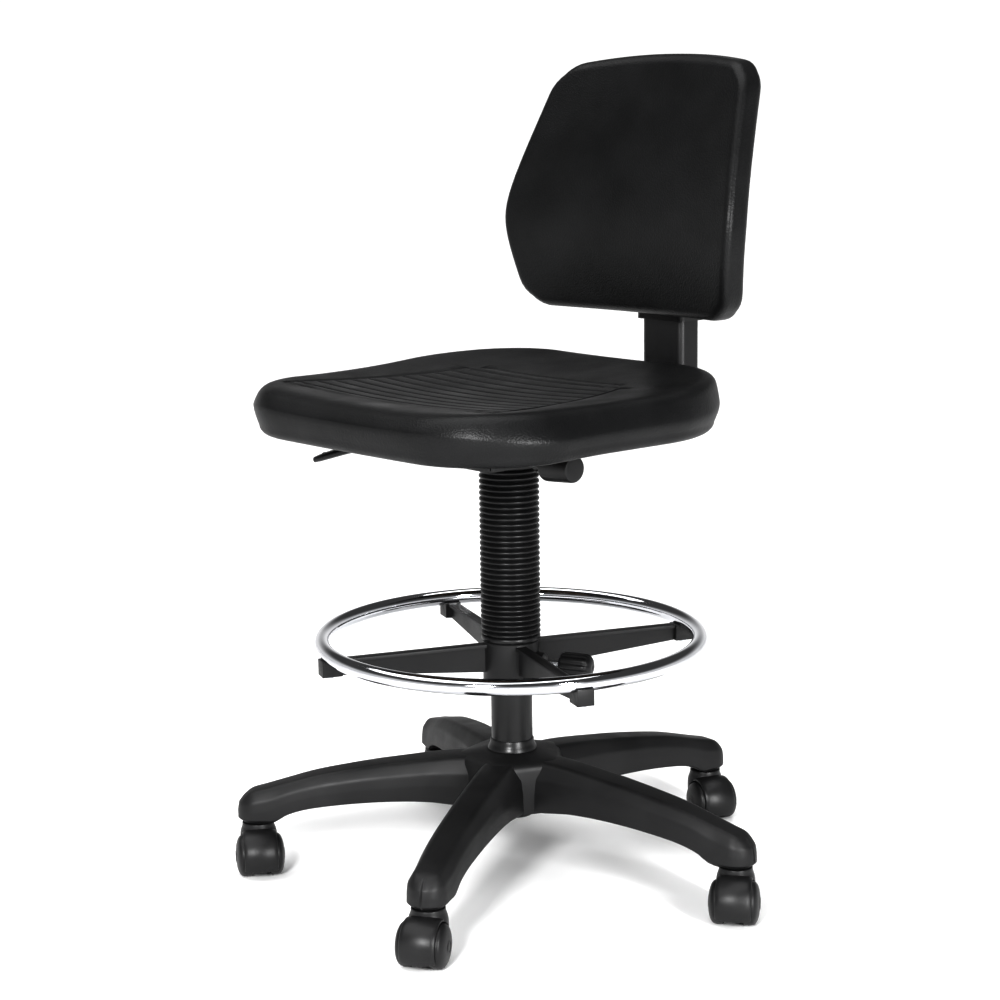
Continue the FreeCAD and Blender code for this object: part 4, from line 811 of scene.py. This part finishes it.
hubSteps = [(0.003, 0.0), (0.0008, 0.0008), (0.0, 0.003), (0.0, 0.053), (0.0008, 0.0575), (0.003, 0.0608),
            (0.0065, 0.0627), (0.012, 0.064), (0.02, 0.0657), (0.0275, 0.0675), (0.0305, 0.068)]
hubSections = []
for inset, rise in hubSteps:
    size = (star["hubFlat"] - inset) / math.cos(math.pi / 5)
    corners = [Vector((size, 0)) @ Matrix.Rotation(-star["firstArm"] - math.tau * index / 5, 2)
               for index in range(5)]
    outline = rounded(corners, star["hubRound"] + inset * 0.8, 6)
    hubSections.append([(point.x, point.y, star["hubFoot"] + rise) for point in outline])
hub = skinned("hub", hubSections, sharpAngle=30)
baseStar = joined("baseStar", arms, hub)
seated(baseStar, "base", "base_nylon", "base_star")
skirtFoot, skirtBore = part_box("column_skirt")[0].z, 0.0251
skirtSteps = ((0.0292, 0.0), (0.0299, 0.0007), (0.0296, 0.0025), (0.0281, 0.0052), (0.0266, 0.0088),
              (0.0262, 0.0125), (0.0258, 0.0132), (skirtBore, 0.0134), (skirtBore, 0.0))
skirt = lathe("columnSkirt", [(skirtBore, skirtFoot), *((r, skirtFoot + rise) for r, rise in skirtSteps)], 96)
seated(skirt, "base", "black_plastic", "column_skirt", finish=finishes["bellows_rubber"])
print("base made", len(baseStar.data.polygons), "faces")

# casters: a barrel hood on a neck, and two domed wheels

caster = {
    "trail": (middleOf("caster_1_axle") - firstStem).xy.length, "wheel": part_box("caster_1_left_wheel")[1].z / 2,
    "bandHalf": 0.0203, "bandInner": 0.0262, "bandOuter": 0.0318, "bandCrown": 0.0034, "hoodEdge": 0.011,
    "frontEdge": 186, "neck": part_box("caster_1_hood")[1].z, "neckRadius": 0.01925, "treadNear": 0.0112,
    "treadFar": 0.02, "domeFar": 0.0294, "domePower": 2.35, "webHalf": 0.0026, "bossRadius": 0.009,
    "bossHalf": 0.0106, "bossEdge": 0.0008, "wellHalf": 0.04,
    "neckSteps": ((0.0032, 0.0), (0.0032, 0.016), (0.0029, 0.022), (0.002, 0.0265), (0.0008, 0.03),
                  (0.0, 0.0325)),
    "innerSteps": ((0, -0.0002), (0.007, -0.0002), (0.0075, 0.0004), (0.0078, 0.0022), (0.0215, 0.0022),
                   (0.0222, 0.0003), (0.0226, 0.0)),
    "capSteps": ((0.0068, 0.0001), (0.0062, -0.0004), (0.0058, -0.0006), (0.0052, -0.0002), (0.003, 0.0),
                 (0, 0.0001)),
}
axleHeight = caster["wheel"]


def bandSection(angle):
    flat = caster["bandHalf"]
    outer = [(side * flat * share, caster["bandOuter"] - caster["bandCrown"] * share ** 2)
             for side, share in ((-1, 0.96), (-1, 0.75), (-1, 0.5), (-1, 0.25), (1, 0.0),
                                 (1, 0.25), (1, 0.5), (1, 0.75), (1, 0.96))]
    edge = caster["bandOuter"] - caster["bandCrown"] - 0.0006
    loop = [(-flat, caster["bandInner"]), (-flat, edge), *outer, (flat, edge), (flat, caster["bandInner"])]
    return [(radius * math.cos(angle), y, radius * math.sin(angle)) for y, radius in loop]


def aroundAxle(piece):
    return moved(piece, Matrix.Translation((caster["trail"], 0, axleHeight)))


rearEdge = math.asin((caster["hoodEdge"] - axleHeight) / caster["bandOuter"])
bandTurns = [mix(rearEdge, math.radians(caster["frontEdge"]), step / 48) for step in range(49)]
band = bevelled(skinned("band", [bandSection(turn) for turn in bandTurns], sharpAngle=40), 0.0004, 2, 50)
webRim = caster["bandInner"] + 0.0006
webArc = [Vector((webRim * math.cos(turn), webRim * math.sin(turn)))
          for turn in [mix(math.radians(-22), math.radians(196), step / 30) for step in range(31)]]
webFoot = rounded([webArc[-1], Vector((-0.012, -0.0125)), Vector((0.012, -0.0125)), webArc[0]], 0.004, 4, False)
web = prism("web", webArc + webFoot[1:-1], -caster["webHalf"], caster["webHalf"])
web = moved(bevelled(web, 0.0005, 2), Matrix.Rotation(math.pi / 2, 4, "X"))
bossRadius, bossHalf, bossEdge = caster["bossRadius"], caster["bossHalf"], caster["bossEdge"]
boss = lathe("boss", [(0, -bossHalf), (bossRadius - bossEdge, -bossHalf), (bossRadius, bossEdge - bossHalf),
                      (bossRadius, bossHalf - bossEdge), (bossRadius - bossEdge, bossHalf), (0, bossHalf)], 48)
boss = moved(boss, Matrix.Rotation(math.pi / 2, 4, "X"))
neckTop, radius = caster["neck"] - 0.0005, caster["neckRadius"]
neck = lathe("neck", [(0, axleHeight), *((radius + out, axleHeight + rise) for out, rise in caster["neckSteps"]),
                      (radius, neckTop - 0.0012), (radius - 0.0004, neckTop - 0.0004),
                      (radius - 0.0013, neckTop), (0, neckTop)], 96)
wellRadius, wellHalf = caster["bandInner"] + 0.0001, caster["wellHalf"]
well = lathe("well", [(0, -wellHalf), (wellRadius, -wellHalf), (wellRadius, wellHalf), (0, wellHalf)], 96)
aroundAxle(moved(well, Matrix.Rotation(math.pi / 2, 4, "X")))
cut = neck.modifiers.new("well", "BOOLEAN")
cut.operation, cut.solver, cut.object = "DIFFERENCE", "EXACT", well
settle(neck)
bpy.data.objects.remove(well)
neck.data.set_sharp_from_angle(angle=math.radians(35))
hood = joined("hood", aroundAxle(band), aroundAxle(web), aroundAxle(boss), neck)

tread, near, far, domeFar = axleHeight, caster["treadNear"], caster["treadFar"], caster["domeFar"]
power = 2 / caster["domePower"]
dome = [(tread * math.cos(turn) ** power, far + (domeFar - far) * math.sin(turn) ** power)
        for turn in [math.radians(angle) for angle in (12, 22, 32, 42, 52, 62, 72, 80)]]
wheelProfile = [*((r, near + rise) for r, rise in caster["innerSteps"]), (tread - 0.0012, near),
                (tread - 0.0004, near + 0.0004), (tread, near + 0.0013), (tread, far - 0.0012),
                (tread - 0.0001, far), *dome, *((r, domeFar + rise) for r, rise in caster["capSteps"])]
wheel = moved(lathe("wheel", wheelProfile, 96, 32), Matrix.Rotation(-math.pi / 2, 4, "X"))
aroundAxle(wheel)

for number in range(1, star["arms"] + 1):
    stem, axle = middleOf(f"caster_{number}_stem"), middleOf(f"caster_{number}_axle")
    place = spun(math.atan2(axle.y - stem.y, axle.x - stem.x), (stem.x, stem.y, 0))
    for side, turned in (("left", Matrix.Identity(4)), ("right", Matrix.Diagonal((1, -1, 1, 1)))):
        copy = moved(newPiece(f"caster{number}{side.title()}Wheel", wheel.data.copy()), place @ turned)
        cleaned(copy.data, 32)
        seated(copy, f"caster_{number}_{side}", "wheel_plastic", f"caster_{number}_{side}_wheel")
    copy = moved(newPiece(f"caster{number}Hood", hood.data.copy()), place)
    seated(copy, f"caster_{number}", "caster_nylon", f"caster_{number}_hood")
for spare in (wheel, hood):
    bpy.data.objects.remove(spare)
print("casters made")

# bellows: one fold, repeated up the lift with a pitch that grows a little

bellowsLow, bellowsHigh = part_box("bellows_cover")
bellows = {
    "folds": 31, "ridge": bellowsHigh.x, "depth": 0.0034, "wall": 0.0011, "cuff": 0.006, "lip": 0.003,
    "topPitch": 1.16, "segments": 96,
}
foldShape = [(0.0, 0.0), (0.07, 0.16), (0.18, 0.52), (0.3, 0.86), (0.42, 0.985), (0.5, 1.0), (0.58, 0.985),
             (0.7, 0.86), (0.82, 0.52), (0.93, 0.16), (1.0, 0.0)]
groove = bellows["ridge"] - bellows["depth"]
bore, lip = groove - bellows["wall"], groove + bellows["lip"]


def tubeSkin(name, profile, segments):
    # an open skin turned about +Z
    points = [(r * math.cos(math.tau * step / segments), r * math.sin(math.tau * step / segments), z)
              for r, z in profile for step in range(segments)]
    mesh = bpy.data.meshes.new(name)
    mesh.from_pydata(points, [], ringFaces(len(profile), segments))
    return newPiece(name, mesh)


def repeatedUp(name, part, count, low, high, growth, material):
    # stacks a part of unit height from low to high; the last copy is growth times as tall as the first
    tree = Tree(name + "Stack", {"Count": count, "Low": low, "High": high, "Growth": growth})
    total = tree.value("Count")
    index = tree.add("GeometryNodeInputIndex").outputs[0]
    mean = tree.math("DIVIDE", tree.math("SUBTRACT", tree.value("High"), tree.value("Low")), total)
    first = tree.math("DIVIDE", tree.math("MULTIPLY", mean, 2.0), tree.math("ADD", tree.value("Growth"), 1.0))
    excess = tree.math("SUBTRACT", tree.value("Growth"), 1.0)
    gain = tree.math("DIVIDE", tree.math("MULTIPLY", first, excess), total)
    square = tree.math("MULTIPLY", index, index)
    start = tree.math("ADD", tree.math("MULTIPLY", index, first),
                      tree.math("MULTIPLY", square, tree.math("DIVIDE", gain, 2.0)))
    height = tree.math("ADD", first, tree.math("MULTIPLY", gain, tree.math("ADD", index, 0.5)))
    line = tree.add("GeometryNodeMeshLine", {"Count": total, "Offset": (0, 0, 0)})
    spot = tree.add("ShaderNodeCombineXYZ", {2: tree.math("ADD", start, tree.value("Low"))})
    spots = tree.add("GeometryNodeSetPosition", {"Geometry": line.outputs[0], "Position": spot.outputs[0]})
    size = tree.add("ShaderNodeCombineXYZ", {0: 1.0, 1: 1.0, 2: height})
    copies = tree.add("GeometryNodeInstanceOnPoints", {
        "Points": spots.outputs[0], "Instance": tree.value("Geometry"), "Scale": size.outputs[0]})
    tree.finish(copies.outputs[0], material)
    return tree.make(name, part)


foldLow, foldHigh = bellowsLow.z + bellows["cuff"], bellowsHigh.z - bellows["cuff"]
outer = [(groove + bellows["depth"] * rise, height) for height, rise in foldShape]
fold = joined("fold", tubeSkin("foldOuter", outer, bellows["segments"]),
              tubeSkin("foldInner", [(r - bellows["wall"], z) for r, z in outer], bellows["segments"]))
folds = repeatedUp("folds", fold, bellows["folds"], foldLow, foldHigh, bellows["topPitch"],
                   finishes["bellows_rubber"])
cuffs = []
for edge, end in ((foldLow, bellowsLow.z), (foldHigh, bellowsHigh.z)):
    out = math.copysign(1, end - edge)
    profile = [(groove, edge), (lip - 0.0008, edge + out * 0.0006), (lip, edge + out * 0.0016),
               (lip, end - out * 0.0008), (lip - 0.0006, end), (bore + 0.0004, end),
               (bore, end - out * 0.0006), (bore, edge)]
    cuffs.append(tubeSkin("cuff", profile, bellows["segments"]))
bellowsCover = joined("bellowsCover", folds, *cuffs)
cleaned(bellowsCover.data, 60)
seated(bellowsCover, None, "bellows_rubber", "bellows_cover")
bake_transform(bellowsCover)
print("bellows made", len(bellowsCover.data.polygons), "faces")

# footring

ringLow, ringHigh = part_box("footring_tube")
ring = {"tube": (ringHigh.z - ringLow.z) / 2, "outside": ringHigh.y, "turns": 256, "sides": 40}
ringTree = Tree("ringTube", {"Radius": ring["outside"] - ring["tube"], "Tube": ring["tube"], "Turns": ring["turns"],
                             "Sides": ring["sides"], "Height": (ringLow.z + ringHigh.z) / 2})
ringPath = ringTree.add("GeometryNodeCurvePrimitiveCircle", {"Resolution": ringTree.value("Turns"),
                                                             "Radius": ringTree.value("Radius")})
ringSection = ringTree.add("GeometryNodeCurvePrimitiveCircle", {"Resolution": ringTree.value("Sides"),
                                                                "Radius": ringTree.value("Tube")})
ringSkin = ringTree.add("GeometryNodeCurveToMesh", {"Curve": ringPath.outputs[0],
                                                    "Profile Curve": ringSection.outputs[0]})
ringLift = ringTree.add("ShaderNodeCombineXYZ", {2: ringTree.value("Height")})
ringPlace = ringTree.add("GeometryNodeTransform", {"Geometry": ringSkin.outputs[0],
                                                   "Translation": ringLift.outputs[0]})
ringTree.finish(ringPlace.outputs[0], finishes["chrome_tube"])
ringTube = ringTree.make("footringTube")
seated(ringTube, "footring", "chrome_tube", "footring_tube")


# pressed and moulded pieces that keep their shape and get soft edges


def softened(name, node, body, slot, width):
    mesh = frame["nodes"][node].data.copy()
    work = bmesh.new()
    work.from_mesh(mesh)
    bmesh.ops.remove_doubles(work, verts=work.verts, dist=1e-6)
    bmesh.ops.dissolve_limit(work, angle_limit=math.radians(1.2), verts=work.verts, edges=work.edges)
    work.to_mesh(mesh)
    work.free()
    piece = newPiece(name, mesh)
    mesh.polygons.foreach_set("use_smooth", [True] * len(mesh.polygons))
    return seated(bevelled(piece, width, 3, 32), body, slot, node)


softened("footringHub", "footring_hub", "footring", "hub_nylon", 0.0009)
softened("barCover", "back_bar_cover", "back", "black_plastic", 0.0022)
softened("sliderCarrier", "back_slider", "backrest", "black_plastic", 0.0015)
softened("mechanismHousing", "mechanism_housing", "seat", "black_steel", 0.0008)
softened("mechanismPlate", "mechanism_plate", "seat", "black_steel", 0.0006)
softened("leverBar", "height_lever", "lever", "black_steel", 0.0009)

# the paddle: a leaf along the lever's fall, thickest in its middle
paddle = {"half": 0.015, "thick": 0.0048, "least": 0.0006, "thinnest": 0.0005, "neck": 0.42, "neckFrom": 0.93,
          "crown": 0.0016, "tipSet": (0.0085, 0.0125, 0.0012), "rootSet": (0.0085, 0.0125, 0.0075),
          "rows": 32, "sides": 32, "squareness": 0.8}
paddleLow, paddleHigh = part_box("lever_paddle")
paddleTip = paddleLow + Vector(paddle["tipSet"])
paddleRoot = paddleHigh - Vector(paddle["rootSet"])
paddleWay = (paddleRoot - paddleTip).normalized()
paddleSide = paddleWay.cross(up).normalized()
paddleUp = paddleSide.cross(paddleWay)


def paddleWidth(share):
    # widest before its middle, with a neck towards the lever
    leaf = max(1 - abs(2 * share - 0.86) ** 2.4, 0.0) ** 0.55 if share < paddle["neckFrom"] else 0.0
    neck = paddle["neck"] * (1 - smoothStep(share, paddle["neckFrom"], 1.0)) if share > 0.6 else 0.0
    return max(paddle["least"], paddle["half"] * max(leaf, neck))


def squared(value):
    return math.copysign(abs(value) ** paddle["squareness"], value)


paddleSections = []
for share in [0.5 - 0.5 * math.cos(math.pi * step / paddle["rows"]) for step in range(paddle["rows"] + 1)]:
    wide = paddleWidth(share)
    thick = max(paddle["thinnest"], paddle["thick"] * (wide / paddle["half"]) ** 0.5)
    middle = paddleTip.lerp(paddleRoot, share) + paddleUp * paddle["crown"] * math.sin(math.pi * share)
    paddleSections.append([tuple(middle + paddleSide * squared(math.cos(turn)) * wide
                                 + paddleUp * squared(math.sin(turn)) * thick)
                           for turn in [math.tau * step / paddle["sides"] for step in range(paddle["sides"])]])
leverPaddle = skinned("leverPaddle", paddleSections, sharpAngle=50)
seated(leverPaddle, "lever", "black_plastic", "lever_paddle")
softened("seatBoard", "seat_pan", "seat", "pan_board", 0.0012)
print("pressings made")

# knobs


def lobedKnob(name, radius, length, lobes, depth, profile):
    # a fluted grip about +Z; profile gives the share of height, how far in from the grip, and of the flute
    count = lobes * 12
    sections = []
    for height, inset, flute in profile:
        loop = []
        for step in range(count):
            turn = math.tau * step / count
            valley = (0.5 - 0.5 * math.cos(lobes * turn)) ** 2
            size = radius - inset - depth * flute * valley
            loop.append((size * math.cos(turn), size * math.sin(turn), height * length))
        sections.append(loop)
    return skinned(name, sections, sharpAngle=34)


ringKnob = {"radius": 0.0155, "length": 0.041, "lobes": 10, "flute": 0.0016, "start": 0.0655}
clampScrew = middleOf("footring_clamp_screw")
outwards = Vector((clampScrew.x, clampScrew.y, 0)).normalized()
gripProfile = [(0.0, 0.0052, 0.2), (0.012, 0.0042, 0.4), (0.04, 0.0016, 0.9), (0.075, 0.0005, 1.0),
               (0.12, 0.0, 1.0), (0.5, 0.0, 1.0), (0.78, 0.0001, 1.0), (0.84, 0.0006, 0.9),
               (0.89, 0.0018, 0.6), (0.93, 0.0038, 0.3), (0.965, 0.0066, 0.1), (0.985, 0.0095, 0.0),
               (0.992, 0.0115, 0.0), (0.99, 0.0128, 0.0), (0.982, 0.0134, 0.0)]
footringKnob = lobedKnob("footringKnob", ringKnob["radius"], ringKnob["length"], ringKnob["lobes"],
                         ringKnob["flute"], gripProfile)
moved(footringKnob, along(outwards, outwards * ringKnob["start"] + Vector((0, 0, clampScrew.z))))
seated(footringKnob, "ring_clamp", "black_plastic", "footring_knob")

backKnobLow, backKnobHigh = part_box("back_height_knob")
backSize = backKnobHigh - backKnobLow
backKnob = lobedKnob("backHeightKnob", backSize.z / 2, backSize.y, 7, 0.0034, gripProfile)
backMiddle = middleOf("back_height_knob")
moved(backKnob, along((0, 1, 0), (backMiddle.x, backKnobLow.y, backMiddle.z)))
seated(backKnob, "back_clamp", "black_plastic", "back_height_knob")

angleKnobLow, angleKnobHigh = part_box("angle_knob")
angleMiddle = middleOf("angle_knob")
angleEnd = angleKnobHigh.x - angleKnobLow.x
angleProfile = [(0, 0.0), (0.0092, 0.0), (0.0098, 0.0006), (0.0098, 0.0165), (0.0104, 0.0174), (0.0166, 0.0178),
                (0.0178, 0.0185), (0.0183, 0.0198), (0.0184, 0.022), (0.0172, 0.04), (0.0158, angleEnd - 0.004),
                (0.0154, angleEnd - 0.002), (0.0146, angleEnd - 0.0008), (0.0132, angleEnd - 0.0003),
                (0.01, angleEnd), (0, angleEnd)]
angleKnob = lathe("angleKnob", angleProfile, 96, 36)
moved(angleKnob, along((1, 0, 0), (angleKnobLow.x, angleMiddle.y, angleMiddle.z)))
seated(angleKnob, "angle_clamp", "black_plastic", "angle_knob")
print("knobs made")

# floor, light and camera

floor = meshPiece("studioFloor", [(-60, -60, 0), (60, -60, 0), (60, 60, 0), (-60, 60, 0)], [(0, 1, 2, 3)])
floorPaint = Finish("floorPaint", Specular_IOR_Level=0.0, Roughness=1.0)
floorPaint.tint(floorPaint.noise(0.4, 2), (0.93, 0.93, 0.93), (0.95, 0.95, 0.95))
floor.data.materials.append(floorPaint.material)

# white all round and below, darker overhead, where a wide soft sun stands
sky = {"level": 1.0, "overhead": 0.14, "start": 0.1, "end": 0.45, "sun": 2.8, "sunAngle": 72}
studio = bpy.data.worlds.new("studio")
bpy.context.scene.world = studio
studio.use_nodes = True
skyNodes = studio.node_tree.nodes
way = skyNodes.new("ShaderNodeSeparateXYZ")
fade = skyNodes.new("ShaderNodeMapRange")
fade.interpolation_type = "SMOOTHSTEP"
for label, value in {"From Min": sky["start"], "From Max": sky["end"], "To Min": sky["level"],
                     "To Max": sky["overhead"]}.items():
    fade.inputs[label].default_value = value
for source, target in ((skyNodes.new("ShaderNodeTexCoord").outputs["Generated"], way.inputs[0]),
                       (way.outputs["Z"], fade.inputs["Value"]),
                       (fade.outputs[0], skyNodes["Background"].inputs["Strength"])):
    studio.node_tree.links.new(source, target)
skyNodes["Background"].inputs["Color"].default_value = (1, 1, 1, 1)
sunLamp = bpy.data.lights.new("softSun", "SUN")
sunLamp.energy, sunLamp.angle = sky["sun"], math.radians(sky["sunAngle"])
newPiece("softSun", sunLamp).rotation_euler = (0.12, -0.16, 0)


def softBox(name, place, aim, width, height, power):
    lamp = bpy.data.lights.new(name, "AREA")
    lamp.shape = "RECTANGLE"
    lamp.size, lamp.size_y, lamp.energy = width, height, power
    holder = newPiece(name, lamp)
    holder.location = place
    holder.rotation_euler = (Vector(aim) - Vector(place)).to_track_quat("-Z", "Y").to_euler()


lamps = {
    "keyBox": ((1.75, -2.9, 1.85), (0, 0, 0.6), 0.6, 0.7, 130),
    "sideBox": ((3.4, -0.6, 1.3), (0, 0, 0.6), 0.3, 1.6, 130),
}
for name, (place, aim, width, height, power) in lamps.items():
    softBox(name, place, aim, width, height, power)

# the camera stands in front of the sitter's left hand, a little above the backrest's middle
view = {"place": (1.939, -1.7482, 0.9501), "heading": (-0.7455, 0.6665), "dip": 10.72, "roll": 0.77, "lens": 80.33}
dip = math.radians(view["dip"])
sight = Vector((view["heading"][0] * math.cos(dip), view["heading"][1] * math.cos(dip), -math.sin(dip)))
camera = newPiece("camera", bpy.data.cameras.new("camera"))
camera.data.lens = view["lens"]
camera.data.sensor_width = 36
camera.location = view["place"]
camera.rotation_mode = "QUATERNION"
level = sight.to_track_quat("-Z", "Y")
camera.rotation_quaternion = level @ Quaternion((0, 0, 1), -math.radians(view["roll"]))
bpy.context.scene.camera = camera

tone = bpy.context.scene.view_settings
tone.view_transform = "Standard"
tone.exposure, tone.gamma = 0.1, 0.66
bpy.context.view_layer.update()
